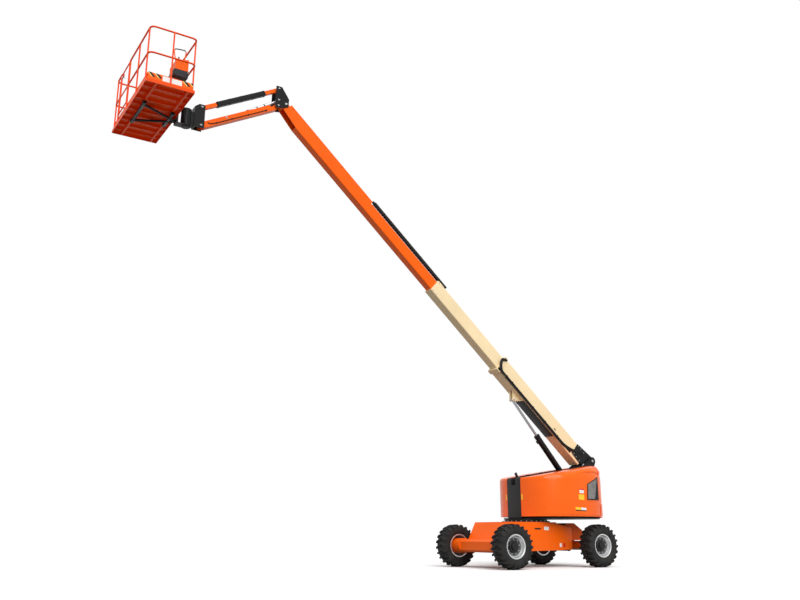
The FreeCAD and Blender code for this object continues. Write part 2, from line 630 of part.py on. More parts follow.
def exhaust_pipe():
    low = DECK_LOW + 0.3 + DECK_THICKNESS
    x, y = EXHAUST_X, -HOOD_INNER - EXHAUST_INSET
    return tube_run([V(x, y, low), V(x, y, 1965), V(x + 25, y, 2010), V(x + 60, y, 2080)], EXHAUST_DIA, 12)


# ---- boom ---------------------------------------------------------------------------------
def base_boom():
    centre = -BOOM_DROP
    tube = box_tube(BASE_START, BASE_END, BASE_HEIGHT, BASE_WIDTH, BASE_WALL, centre, 26)
    collar = ring(BASE_END - COLLAR_LENGTH, BASE_END, COLLAR_HEIGHT, COLLAR_WIDTH,
                  MID_HEIGHT + 1, MID_WIDTH + 1, centre)
    under = centre - BASE_HEIGHT / 2
    eye_normal = under - LIFT_LUG_BELOW
    slot = box(LIFT_LUG_ALONG - 480, LIFT_LUG_ALONG + 160, -38, 38, under - 5, under + BASE_WALL + 5)
    tube = tube.cut(slot)
    ears = []
    for sign in (1, -1):
        at = LIFT_LUG_ALONG
        ear = side_plate([(at - 190, under), (at + 150, under), (at + 42, eye_normal), (at + 28, eye_normal - 34),
                          (at - 28, eye_normal - 34), (at - 42, eye_normal)], 40, 62)
        ears.append(ear if sign > 0 else mirrored(ear))
    half_eye = LIFT_EYE_WIDTH / 2 + 0.3
    stub = across(LIFT_LUG_ALONG, eye_normal, LIFT_PIN_DIA, half_eye, 70)
    return on_boom(fuse(tube, collar, *ears, stub, mirrored(stub)))


def boom_tail_bracket():
    """Black cheek plates round the tail of the base boom, with the pivot pin."""
    top = -BOOM_DROP + BASE_HEIGHT / 2
    half = BASE_WIDTH / 2
    cheek = side_plate([(-75, 40), (-30, 82), (40, 84), (150, 70), (560, top - 12), (560, top - 300),
                        (240, top - 330), (-30, -82), (-78, -40)], half, half + TAIL_CHEEK)
    back = box(160, BASE_START, -half, half, -BOOM_DROP - 120, top - 20)
    pin = across(0, 0, PIVOT_PIN_DIA, -TROUGH_HALF - UPRIGHT_THICKNESS, TROUGH_HALF + UPRIGHT_THICKNESS)
    return on_boom(fuse(cheek, mirrored(cheek), back, pin))


def base_hoses():
    """Two hydraulic hoses in clips along the lower left edge of the base boom."""
    y = BASE_WIDTH / 2 + HOSE_DIA / 2 * math.cos(math.pi / 6) + 0.5
    low = -BOOM_DROP - BASE_HEIGHT / 2 + 45
    return [on_boom(tube_run([V(620, y, low + step), V(3280, y, low + step)], HOSE_DIA, 6)) for step in (0, 30)]


def mid_boom():
    centre = -BOOM_DROP
    start = MID_END - MID_LENGTH
    tube = box_tube(start, MID_END, MID_HEIGHT, MID_WIDTH, MID_WALL, centre, 22)
    pads = ring(MID_END - 80, MID_END, MID_HEIGHT - 2 * MID_WALL + 2, MID_WIDTH - 2 * MID_WALL + 2,
                FLY_HEIGHT + 1, FLY_WIDTH + 1, centre)
    tail = ring(start, start + 90, BASE_HEIGHT - 2 * BASE_WALL - 1, BASE_WIDTH - 2 * BASE_WALL - 1,
                MID_HEIGHT - 2 * MID_WALL, MID_WIDTH - 2 * MID_WALL, centre)
    edges = [e for e in tail.Edges if abs(e.Length - 90) < 1 and abs(e.CenterOfMass.y) > MID_WIDTH / 2]
    tail = tail.makeChamfer(18, edges)
    top = centre + MID_HEIGHT / 2
    clamp = box(MID_END - 220, MID_END - 40, -46, 46, top - 1, TRACK_LOW - 0.4)
    return on_boom(fuse(tube, pads, tail, clamp))


def fly_boom():
    centre = -BOOM_DROP
    start = FLY_END - FLY_LENGTH
    tube = box_tube(start, FLY_END, FLY_HEIGHT, FLY_WIDTH, FLY_WALL, centre, 18)
    tail = ring(start, start + 90, MID_HEIGHT - 2 * MID_WALL - 1, MID_WIDTH - 2 * MID_WALL - 1,
                FLY_HEIGHT - 2 * FLY_WALL, FLY_WIDTH - 2 * FLY_WALL, centre)
    edges = [e for e in tail.Edges if abs(e.Length - 90) < 1 and abs(e.CenterOfMass.y) > FLY_WIDTH / 2]
    tail = tail.makeChamfer(15, edges)
    under = centre - FLY_HEIGHT / 2
    taper = side_plate([(FLY_END - 620, under - 5), (FLY_END + 5, under - 5), (FLY_END + 5, under + 85)],
                       -200, 200)
    tube = tube.cut(taper)
    cap = box(FLY_END - 60, FLY_END, -FLY_WIDTH / 2 + 2, FLY_WIDTH / 2 - 2, under + 80, centre + FLY_HEIGHT / 2 - 4)
    pin = across(TIP_ALONG, TIP_NORMAL, TIP_PIN_DIA, -FLY_WIDTH / 2 - 20, FLY_WIDTH / 2 + 20)
    return on_boom(fuse(tube, tail, cap, pin))


def hose_tray():
    top = -BOOM_DROP + FLY_HEIGHT / 2
    tray = box(TRAY_START, FLY_END - 120, -TRAY_WIDTH / 2, TRAY_WIDTH / 2, top + 0.3, top + TRAY_HEIGHT)
    half = TRAY_WIDTH / 2 - 5
    hollow = box(TRAY_START - 1, FLY_END - 119, -half, half, top + 5, top + TRAY_HEIGHT - 5)
    return on_boom(tray.cut(hollow))


def power_track():
    """Outline of the folding hose carrier between the mid boom's clamp and the tray on the fly boom."""
    return on_boom(box(TRACK_START, TRAY_START - 1, -TRACK_WIDTH / 2, TRACK_WIDTH / 2,
                       TRACK_LOW, TRACK_LOW + TRACK_HEIGHT))


def lift_cylinder():
    reach = (LIFT_EYE - LIFT_BASE).Length
    angle = math.degrees(math.atan2(LIFT_EYE.z - LIFT_BASE.z, LIFT_EYE.x - LIFT_BASE.x))
    barrel = round_rod(V(60, 0, 0), V(LIFT_BARREL_LENGTH, 0, 0), LIFT_BARREL_DIA)
    foot = across(0, 0, 130, -45, 45)
    barrel = fuse(barrel, foot, box(0, 80, -45, 45, -50, 50))
    barrel = barrel.cut(bore(0, 0, LIFT_FOOT_PIN_DIA + 0.6, -100, 100))
    hollow = LIFT_ROD_DIA / 2 + 0.5
    barrel = barrel.cut(box(LIFT_BARREL_HOLLOW, LIFT_BARREL_LENGTH + 10, -hollow, hollow, -hollow, hollow))
    eye = across(reach, 0, LIFT_ROD_DIA, -LIFT_EYE_WIDTH / 2, LIFT_EYE_WIDTH / 2)
    shaft = round_rod(V(LIFT_BARREL_LENGTH - LIFT_ROD_INSIDE, 0, 0), V(reach - 10, 0, 0), LIFT_ROD_DIA)
    shaft = fuse(shaft, eye)
    return turned(barrel, LIFT_BASE, angle), turned(shaft, LIFT_BASE, angle)


# ---- jib ----------------------------------------------------------------------------------
def tip_bracket():
    """Levelling bracket on the fly boom's tip, with the jib's three foot pins."""
    inner = FLY_WIDTH / 2 + BRACKET_GAP
    outer = inner + BRACKET_PLATE
    up = JIB_FOOT + V(0, 0, JIB_SPREAD)
    cheek = side_plate([(TIP.x - 60, TIP.z - 50), (TIP.x + 60, TIP.z - 110), (JIB_FOOT.x + 70, JIB_FOOT.z - 60),
                        (up.x + 60, up.z + 50), (up.x - 70, up.z + 50), (TIP.x - 70, TIP.z + 120)], inner, outer)
    cheek = cheek.cut(bore(TIP.x, TIP.z, TIP_PIN_DIA + 0.6, 0, 400))
    cylinder_foot = JIB_FOOT + V(0, 0, JIB_CYLINDER_RISE)
    pins = [across(p.x, p.z, JIB_PIN_DIA, -outer, outer) for p in (JIB_FOOT, up, cylinder_foot)]
    return fuse(cheek, mirrored(cheek), *pins)


def jib_lower_arm():
    """Channel section arm, open at the top; its walls dip near the foot, clear of the cylinder's foot pin."""
    half = JIB_ARM_WIDTH / 2
    deep = JIB_ARM_HEIGHT / 2
    end = JIB_LENGTH
    eye = JIB_EYE_RADIUS
    slant = eye * 0.7
    outline = [(-slant, -slant), (0, -eye), (70, -deep), (end - 70, -deep), (end, -eye), (end + slant, -slant),
               (end + eye, 0), (end + slant, slant), (end, eye), (end - 70, deep), (190, deep), (150, 18), (60, 36),
               (0, eye), (-slant, slant), (-eye, 0)]
    wall = side_plate(outline, half - 2 * JIB_ARM_WALL, half)
    for x in (0, end):
        wall = wall.cut(bore(x, 0, JIB_PIN_DIA + 0.6, 0, 200))
    lug = across(JIB_LUG_ALONG, JIB_LUG_RISE, JIB_LUG_PIN_DIA, JIB_ROD_EYE_WIDTH / 2 + 0.3, half)
    side = fuse(wall, lug)
    base = box(70, end - 70, -half, half, -deep, -deep + JIB_ARM_WALL)
    return turned(fuse(side, mirrored(side), base), JIB_FOOT, JIB_ANGLE)


def jib_upper_arm():
    """Box link above the lower arm, with a padded sleeve for the hoses along its middle."""
    half = JIB_LINK_WIDTH / 2
    deep = JIB_LINK_HEIGHT / 2
    end = JIB_LENGTH
    outline = [(-28, -28), (0, -deep), (end, -deep), (end + 28, -28), (end + deep, 0), (end + 28, 28), (end, deep),
               (0, deep), (-28, 28), (-deep, 0)]
    bar = side_plate(outline, -half, half)
    w = JIB_LINK_WALL
    bar = bar.cut(box(70, end - 70, -half + w, half - w, -deep + w, deep - w))
    sleeve = box(SLEEVE_START, SLEEVE_END, -half - SLEEVE_PROUD, half + SLEEVE_PROUD, -deep - SLEEVE_PROUD,
                 deep + SLEEVE_PROUD)
    sleeve = sleeve.makeChamfer(16, [e for e in sleeve.Edges if e.Length > SLEEVE_END - SLEEVE_START - 1])
    sleeve = sleeve.cut(box(SLEEVE_START - 1, SLEEVE_END + 1, -half + 1, half - 1, -deep + 1, deep - 1))
    bar = fuse(bar, sleeve)
    for x in (0, end):
        bar = bar.cut(bore(x, 0, JIB_PIN_DIA + 0.6, -200, 200))
    return turned(bar, JIB_FOOT + V(0, 0, JIB_SPREAD), JIB_ANGLE)


def jib_cylinder():
    foot = JIB_FOOT + V(0, 0, JIB_CYLINDER_RISE)
    eye = point_on(JIB_FOOT, JIB_ANGLE, JIB_LUG_ALONG, JIB_LUG_RISE)
    reach = (eye - foot).Length
    angle = math.degrees(math.atan2(eye.z - foot.z, eye.x - foot.x))
    foot_eye = flat_turned([(-28, JIB_BARREL_DIA / 2), (28, JIB_BARREL_DIA / 2)], 12)
    barrel = fuse(round_rod(V(20, 0, 0), V(JIB_BARREL_LENGTH, 0, 0), JIB_BARREL_DIA), foot_eye)
    barrel = barrel.cut(bore(0, 0, JIB_PIN_DIA + 0.6, -100, 100))
    hollow = JIB_ROD_DIA / 2 + 0.5
    barrel = barrel.cut(box(120, JIB_BARREL_LENGTH + 5, -hollow, hollow, -hollow, hollow))
    half_eye = JIB_ROD_EYE_WIDTH / 2
    shaft = fuse(round_rod(V(JIB_BARREL_LENGTH - JIB_ROD_INSIDE, 0, 0), V(reach - 6, 0, 0), JIB_ROD_DIA),
                 across(reach, 0, 44, -half_eye, half_eye))
    return turned(barrel, foot, angle), turned(shaft, foot, angle)


def jib_head():
    """Bracket at the platform end of the jib, with the post of the rotator."""
    inner = JIB_ARM_WIDTH / 2 + BRACKET_GAP
    outer = inner + BRACKET_PLATE
    up = JIB_END + V(0, 0, JIB_SPREAD)
    cheek = side_plate([(JIB_END.x - 60, JIB_END.z - 60), (JIB_END.x + 150, JIB_END.z - 60),
                        (JIB_END.x + 150, up.z - 20), (up.x + 60, up.z + 50), (up.x - 60, up.z + 50)], inner, outer)
    web = box(JIB_END.x + 120, JIB_END.x + 150, -inner, inner, JIB_END.z - 60, up.z - 20)
    pins = [across(p.x, p.z, JIB_PIN_DIA, -outer, outer) for p in (JIB_END, up)]
    housing_low = JIB_END.z - 60
    housing = upright(ROTATOR_X, 0, ROTATOR_DIA, housing_low, housing_low + ROTATOR_HEIGHT)
    neck = box(JIB_END.x + 149, ROTATOR_X, -70, 70, housing_low + 20, housing_low + ROTATOR_HEIGHT - 20)
    return fuse(cheek, mirrored(cheek), web, housing, neck, *pins)


# ---- platform -----------------------------------------------------------------------------
POST_LOW = JIB_END.z - 60
POST_HIGH = POST_LOW + ROTATOR_HEIGHT
FLOOR_LOW = FLOOR_Z - FLOOR_THICKNESS
PLATFORM_END = PLATFORM_X + PLATFORM_WIDTH
HALF_LENGTH = PLATFORM_LENGTH / 2
RAIL_IN = RAIL_DIA / 2
GATE_HINGE_Y = -220
GATE_END_Y = GATE_HINGE_Y - GATE_WIDTH


def platform_support():
    """Yoke round the rotator's post, and two arms spread under the floor to a cross tube."""
    gap = 0.3
    face = PLATFORM_X - 14
    plates = []
    for z0, z1 in ((POST_LOW - gap - 20, POST_LOW - gap), (POST_HIGH + gap, POST_HIGH + gap + 20)):
        plates.append(upright(ROTATOR_X, 0, ROTATOR_DIA, z0, z1))
        plates.append(box(ROTATOR_X, face, -85, 85, z0, z1))
    post = box(face - 40, face, -85, 85, POST_LOW - gap - 20, POST_HIGH + gap + 20)
    arm_z = FLOOR_LOW - 30
    hub_x = face - 20
    far = PLATFORM_END - 200
    arms = [tube_run([V(hub_x, 0, arm_z), V(far, y, arm_z)], 54, 6) for y in (370, -370)]
    cross = box(far - 25, far + 25, -470, 470, arm_z - 25, arm_z + 25)
    near = box(PLATFORM_X + 95, PLATFORM_X + 145, -300, 300, arm_z - 24, arm_z + 24)
    pads = [box(x - 40, x + 40, y - 40, y + 40, arm_z, FLOOR_LOW)
            for x, y in ((far, 430), (far, -430), (PLATFORM_X + 120, 270), (PLATFORM_X + 120, -270))]
    return fuse(*plates, post, *arms, cross, near, *pads)


def platform_floor():
    half = HALF_LENGTH
    deck = box(PLATFORM_X, PLATFORM_END, -half, half, FLOOR_Z - 4, FLOOR_Z)
    rim_bars = box(PLATFORM_X, PLATFORM_END, -half, half, FLOOR_LOW, FLOOR_Z - 4)
    rim_bars = rim_bars.cut(box(PLATFORM_X + 5, PLATFORM_END - 5, -half + 5, half - 5, FLOOR_LOW - 1, FLOOR_Z))
    beams = [box(x - 20, x + 20, -half + 5, half - 5, FLOOR_LOW, FLOOR_Z - 4)
             for x in (PLATFORM_X + 120, PLATFORM_END - 200)]
    ribs = [box(PLATFORM_X + 5, PLATFORM_END - 5, y - 3, y + 3, FLOOR_LOW + 12, FLOOR_Z - 4)
            for y in range(-1000, 1001, 250)]
    return fuse(deck, rim_bars, *beams, *ribs)


def rail_loop(z, gap_from, gap_to):
    """Centre line of a rail round the platform at one height, with rounded corners, open at the gate."""
    x0, x1 = PLATFORM_X + RAIL_IN, PLATFORM_END - RAIL_IN
    y0, y1 = -HALF_LENGTH + RAIL_IN, HALF_LENGTH - RAIL_IN
    r = CORNER_RADIUS
    points = [V(x1, gap_from, z)]
    for x, y, start in ((x1 - r, y1 - r, 0), (x0 + r, y1 - r, 90), (x0 + r, y0 + r, 180), (x1 - r, y0 + r, 270)):
        for step in (0, 30, 60, 90):
            turn = math.radians(start + step)
            points.append(V(x + r * math.cos(turn), y + r * math.sin(turn), z))
    return points + [V(x1, gap_to, z)]


def platform_rails():
    """Top and middle rails on posts, with an opening for the gate in the outer long side."""
    x0, x1 = PLATFORM_X + RAIL_IN, PLATFORM_END - RAIL_IN
    y1 = HALF_LENGTH - RAIL_IN
    gate_a, gate_b = GATE_HINGE_Y + GATE_GAP, GATE_END_Y - GATE_GAP
    top = FLOOR_Z + RAIL_HEIGHT - RAIL_IN
    bars = []
    for z in (FLOOR_Z + RAIL_HEIGHT / 2, top):
        rings = tube_rings(rail_loop(z, gate_a, gate_b), RAIL_DIA)
        joints = [0, 1, 4, 5, 8, 9, 12, 13, 16, 17]
        bars += [skinned(rings[a:b + 1]) for a, b in zip(joints, joints[1:])]
    rails = Part.makeCompound(bars)
    inset = CORNER_RADIUS
    places = [(x1, gate_a + RAIL_IN), (x1, gate_b - RAIL_IN), (x1, y1 - inset), (x1, 480), (x0, y1 - inset),
              (x0, 30), (x0, inset - y1), (x1, inset - y1), (x0 + 440, y1), (x0 + 440, -y1)]
    posts = [tube_run([V(x, y, FLOOR_Z), V(x, y, top)], POST_DIA).cut(rails) for x, y in places]
    hinge_end = GATE_HINGE_Y - RAIL_IN + POST_DIA / 2 + 0.3
    hinge_post = Part.makeCompound([posts[0]])
    hinges = [box(x1 - 9, x1 + 9, hinge_end, gate_a + RAIL_IN, FLOOR_Z + z, FLOOR_Z + z + 22).cut(hinge_post)
              for z in (300, 900)]
    return bars + posts + [strap.Solids[0] for strap in hinges]


def platform_gate():
    """Gate in the outer long side; it swings inwards about its post."""
    x = PLATFORM_END - RAIL_IN
    y0, y1 = GATE_END_Y + RAIL_IN, GATE_HINGE_Y - RAIL_IN
    low = FLOOR_Z + TOE_HEIGHT + 20
    top = FLOOR_Z + RAIL_HEIGHT - RAIL_IN
    hinge_post = upright(x, y1, POST_DIA, low, top)
    latch_post = tube_run([V(x, y0, low), V(x, y0, top)], POST_DIA)
    levels = (low + 15, FLOOR_Z + RAIL_HEIGHT / 2, top - 15)
    bars = [tube_run([V(x, y1, z), V(x, y0, z)], GATE_BAR_DIA) for z in levels]
    latch = box(x - 22, x - 4, y0 - 2, y0 + 90, levels[2] - 60, levels[2] - 8)
    return fuse(hinge_post, latch_post, latch, *bars)


def toe_boards():
    """Plates round the foot of the rails."""
    t = TOE_THICKNESS
    half = HALF_LENGTH - RAIL_DIA
    inner = PLATFORM_X + RAIL_DIA
    outer = PLATFORM_END - RAIL_DIA
    low = FLOOR_Z + 0.3
    high = low + TOE_HEIGHT
    inside = box(inner + t, outer - t, -half + t, half - t, low - 1, high + 1)
    loop = box(inner, outer, -half, half, low, high).cut(inside)
    return loop


def control_console():
    """Control box on the inner long rail, the dark cabinet under it, and the guard hoop above."""
    x = PLATFORM_X + RAIL_IN + RAIL_IN * math.cos(math.pi / 8) + 0.3
    low = FLOOR_Z + CONSOLE_LOW
    joint = low + CABINET_HEIGHT
    cabinet = box(x, x + 270, 400, 820, low, joint)
    desk = side_plate([(x, joint), (x + 250, joint), (x + 250, joint + 190), (x, joint + 260)], 420, 800)
    y = 640
    hoop = tube_run([V(x + 60, y, joint + 180), V(x + 18, y, joint + 500), V(x + 48, y, joint + 540),
                     V(x + 225, y, joint + 520), V(x + 256, y, joint + 480), V(x + 190, y, joint + 150)],
                    GUARD_DIA, 6)
    return [cabinet, fuse(desk, hoop)]


# ---- write every node ---------------------------------------------------------------------
def main():
    wheels()
    write("chassis_frame", chassis_frame())
    write("drive_axle", drive_axle())
    write("steer_axle", steer_axle())
    left_knuckle = knuckle()
    write("knuckle_left", left_knuckle)
    write("knuckle_right", mirrored(left_knuckle))
    write("tie_rod", tie_rod())
    write("steer_cylinder", steer_cylinder())
    write("swing_bearing", swing_bearing())
    write("turntable_frame", turntable_frame())
    write("counterweight", *counterweight())
    write("engine_block", engine_block())
    write("centre_cover", centre_cover())
    write("exhaust_pipe", exhaust_pipe())
    left_hood = hood()
    write("hood_left", left_hood)
    write("hood_right", right_hood())
    write("base_boom", base_boom())
    write("boom_tail_bracket", boom_tail_bracket())
    write("base_boom_hoses", *base_hoses())
    write("mid_boom", mid_boom())
    write("fly_boom", fly_boom())
    write("hose_tray", hose_tray())
    write("power_track", power_track())
    barrel, shaft = lift_cylinder()
    write("lift_barrel", barrel)
    write("lift_rod", shaft)
    write("tip_bracket", tip_bracket())
    write("jib_lower_arm", jib_lower_arm())
    write("jib_upper_arm", jib_upper_arm())
    barrel, shaft = jib_cylinder()
    write("jib_barrel", barrel)
    write("jib_rod", shaft)
    write("jib_head", jib_head())
    write("platform_support", platform_support())
    write("platform_floor", platform_floor())
    write("platform_rails", *platform_rails())
    write("platform_gate", platform_gate())
    write("toe_boards", toe_boards())
    write("control_console", *control_console())


main()
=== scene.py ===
"""Looks of a telescopic boom lift: paint, wheels, hoses, fittings and stage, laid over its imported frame."""
import json
import math

import bmesh
import bpy
from bpy.props import FloatProperty, FloatVectorProperty, IntProperty, PointerProperty
from mathutils import Matrix, Vector
from mathutils.bvhtree import BVHTree

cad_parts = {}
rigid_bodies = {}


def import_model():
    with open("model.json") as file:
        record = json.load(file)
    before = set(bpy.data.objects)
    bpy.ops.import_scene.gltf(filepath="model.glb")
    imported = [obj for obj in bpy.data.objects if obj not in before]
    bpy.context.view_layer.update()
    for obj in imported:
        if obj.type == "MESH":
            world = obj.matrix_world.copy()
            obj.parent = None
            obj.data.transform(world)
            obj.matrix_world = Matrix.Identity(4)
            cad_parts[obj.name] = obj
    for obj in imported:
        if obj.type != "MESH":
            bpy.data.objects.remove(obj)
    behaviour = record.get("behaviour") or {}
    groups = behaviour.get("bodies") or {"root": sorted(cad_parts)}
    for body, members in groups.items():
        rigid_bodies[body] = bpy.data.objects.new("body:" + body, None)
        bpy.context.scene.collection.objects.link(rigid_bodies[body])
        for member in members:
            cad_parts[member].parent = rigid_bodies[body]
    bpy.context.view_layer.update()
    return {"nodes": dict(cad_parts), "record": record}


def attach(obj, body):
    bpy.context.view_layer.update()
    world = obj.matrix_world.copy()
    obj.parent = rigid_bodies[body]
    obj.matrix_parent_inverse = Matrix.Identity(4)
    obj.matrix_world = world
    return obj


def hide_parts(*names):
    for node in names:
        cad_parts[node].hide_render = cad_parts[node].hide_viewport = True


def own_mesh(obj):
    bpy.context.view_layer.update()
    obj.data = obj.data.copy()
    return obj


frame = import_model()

bl_info = {
    "name": "Telescopic boom lift looks",
    "version": (1, 0, 0),
    "blender": (4, 5, 0),
    "location": "3D View > Sidebar > Boom Lift",
    "description": "Finishes and fittings of a telescopic boom lift over its packed frame",
    "category": "Object",
}

BODY_OF = {node: body for body, nodes in frame["record"]["behaviour"]["bodies"].items() for node in nodes}
X, Y, Z = Vector((1, 0, 0)), Vector((0, 1, 0)), Vector((0, 0, 1))
SIDES = (1, -1)
SHARP = 35                                   # degrees between faces that keep a sharp edge on a built piece

AXLE_X, AXLE_Z, WHEEL_Y = 1.245, 0.46, 0.99
WHEELS = {"drive_left": (AXLE_X, WHEEL_Y), "drive_right": (AXLE_X, -WHEEL_Y),
          "steer_left": (-AXLE_X, WHEEL_Y), "steer_right": (-AXLE_X, -WHEEL_Y)}
CHASSIS_SIDE = 0.5995                        # just inside the plates of the chassis
TYRE_RADIUS, TYRE_HALF, RIM_SEAT, WHEEL_STEPS = 0.46, 0.17, 0.238, 72
HOOD_RISE, HOOD_RUN = 0.36, 2.22             # the upper works' top line falls this much over this length of X
VENT_LOW, VENT_RISE = 1.38, 0.595

BOOM_ANGLE = math.radians(41.3)
PIVOT_X, PIVOT_Z = -1.98, 2.4
BOOM_PIVOT = Vector((PIVOT_X, 0, PIVOT_Z))
LIFT_LUG = (2.57, -0.483)                    # along and normal to the boom
HOSE_RUN = 0.1735                            # how far out the hoses lie along the base section
TRACK_START, TRACK_END, TRACK_MIDDLE = 5.566, 8.166, 0.097
FLY_TIP = (10.98, 0, -0.09)

JIB_ANGLE = math.radians(-29.0)
JIB_FOOT = Vector((6.5003, 0, 9.5002))
JIB_END = Vector((8.1271, 0, 8.5985))
JIB_SPREAD = 0.4                             # upper link above lower arm
JIB_RAM_RISE = 0.13                          # cylinder's foot above the lower arm's
JIB_LUG = (1.25, 0.03)                       # along and normal to the lower arm
JIB_PIN = 0.0185

ROTATOR_X = 8.4171
FLOOR_Z = 8.6585
RAIL_NEAR, RAIL_FAR, RAIL_SIDE = 8.6641, 9.5401, 1.203
RAIL_MIDDLE, RAIL_TOP = FLOOR_Z + 0.55, FLOOR_Z + 1.083
DESK = (8.8095, 0.61, 9.4735)
CABINET_FACE, CABINET_TOP, GUARD_TOP = 8.9541, 9.246, 9.755
SLEEVE_START, SLEEVE_END = 0.32, 1.51        # along the jib's upper link
STRIPE_PITCH = 0.13
STRIPES_LOW, STRIPES_SIDE = 8.725, 1.15      # the striped band lies above and outside these
STRIPES_GAP = (8.87, 9.27)                   # the band is plain between these
MESH_PITCH, MESH_GAP = 0.017, 0.6            # vent mesh: spacing, and the share of it that is open

GROUND_SIZE = 260
KEY_FROM, KEY_SPREAD = Vector((0.3, 0.95, 0.8)), math.radians(50)
CAMERA_AT, CAMERA_HEADING, CAMERA_PITCH = (12.83, 14.99, 0.752), Vector((-0.534, -0.846, 0)), math.radians(15.57)
FOCAL_LENGTH, SENSOR_WIDTH = 37.47, 36.0     # mm


def tilted(origin, angle, along, across, normal):
    """A point given along, across and normal to a beam raised by an angle."""
    return origin + Vector((along * math.cos(angle) - normal * math.sin(angle), across,
                            along * math.sin(angle) + normal * math.cos(angle)))


def boom(along, across, normal):
    return tilted(BOOM_PIVOT, BOOM_ANGLE, along, across, normal)


def beam_space(origin, angle):
    """Along, across and normal to a beam raised by an angle, as a matrix."""
    return Matrix.Translation(origin) @ Matrix.Rotation(-angle, 4, "Y")


def ram_space(foot, eye):
    return beam_space(foot, math.atan2(eye.z - foot.z, eye.x - foot.x))


WORLD = Matrix.Identity(4)
BOOM = beam_space(BOOM_PIVOT, BOOM_ANGLE)
JIB_LOW = beam_space(JIB_FOOT, JIB_ANGLE)
JIB_UP = beam_space(JIB_FOOT + Z * JIB_SPREAD, JIB_ANGLE)
LIFT = ram_space(Vector((-1.735, 0, 1.457)), Vector((0.2695, 0, 3.7333)))
JIB_RAM = ram_space(JIB_FOOT + Z * JIB_RAM_RISE, tilted(JIB_FOOT, JIB_ANGLE, JIB_LUG[0], 0, JIB_LUG[1]))


# ---- settings -----------------------------------------------------------------------------
def colour(name, description, default):
    return FloatVectorProperty(name=name, description=description, default=default, size=3,
                               subtype="COLOR", min=0, max=1)


def length(name, description, default):
    return FloatProperty(name=name, description=description, default=default, unit="LENGTH", min=0)


class BOOMLIFT_Colours(bpy.types.PropertyGroup):
    orange: colour("Orange", "Paint of the upper works, chassis, fly boom and platform", (1.0, 0.13, 0.0))
    cream: colour("Cream", "Paint of the base and middle boom", (0.93, 0.74, 0.45))
    black: colour("Black", "Brackets, tracks and cylinders", (0.007, 0.007, 0.0075))
    rubber: colour("Rubber", "Tyres", (0.0125, 0.0125, 0.013))
    silver: colour("Silver", "Wheel rims", (0.62, 0.63, 0.64))
    dust: colour("Dust", "Dry dust low on the machine", (0.42, 0.33, 0.24))


class BOOMLIFT_Sizes(bpy.types.PropertyGroup):
    lug_count: IntProperty(name="Lugs", description="Lugs on each side of a tyre", default=22, min=6)
    lug_height: length("Lug height", "How far a lug stands out of the casing", 0.03)
    bearing_bolts: IntProperty(name="Bearing bolts", description="Bolts round the swing bearing", default=28,
                               min=6)
    nut_count: IntProperty(name="Wheel nuts", description="Nuts round a wheel", default=9, min=3)
    link_pitch: length("Track link pitch", "Length of one link of the hose carrier", 0.075)


class BOOMLIFT_Stage(bpy.types.PropertyGroup):
    sun: FloatProperty(name="Sun", description="Strength of the key lamp", default=2.5, min=0)
    sky: FloatProperty(name="Sky", description="Strength of the sky light", default=0.66, min=0)
    floor: colour("Floor", "Floor as the lamps see it", (0.2, 0.2, 0.2))


# ---- node kit -----------------------------------------------------------------------------
def wired(tree, kind, settings, inputs):
    """Adds a node to a tree, with its settings, links and constants."""
    made = tree.nodes.new(kind)
    for name, value in (settings or {}).items():
        setattr(made, name, value)
    for name, value in (inputs or {}).items():
        value = getattr(value, "socket", value)
        if isinstance(value, bpy.types.NodeSocket):
            tree.links.new(value, made.inputs[name])
        else:
            made.inputs[name].default_value = value
    return made


class Wire:
    """A node socket that takes part in plain arithmetic."""

    def __init__(self, shade, socket):
        self.shade, self.socket = shade, socket

    def maths(self, operation, *values):
        return self.shade.node("ShaderNodeMath", {"operation": operation}, dict(enumerate(values)))

    def __add__(self, other):
        return self.maths("ADD", self, other)

    def __mul__(self, other):
        return self.maths("MULTIPLY", self, other)

    def __sub__(self, other):
        return self.maths("SUBTRACT", self, other)

    def __rsub__(self, other):
        return self.maths("SUBTRACT", other, self)

    def __gt__(self, other):
        return self.maths("GREATER_THAN", self, other)

    def __lt__(self, other):
        return self.maths("LESS_THAN", self, other)

    def __or__(self, other):
        return self.maths("MAXIMUM", self, other)

    __radd__ = __add__

    def repeated(self, pitch):
        """Where the value stands within its pitch, from 0 to 1."""
        return self.maths("FRACT", self * (1 / pitch))

    def between(self, low, high):
        """0 at low, 1 at high, held outside."""
        return self.shade.node("ShaderNodeMapRange", {"clamp": True},
                               {"Value": self, "From Min": low, "From Max": high})


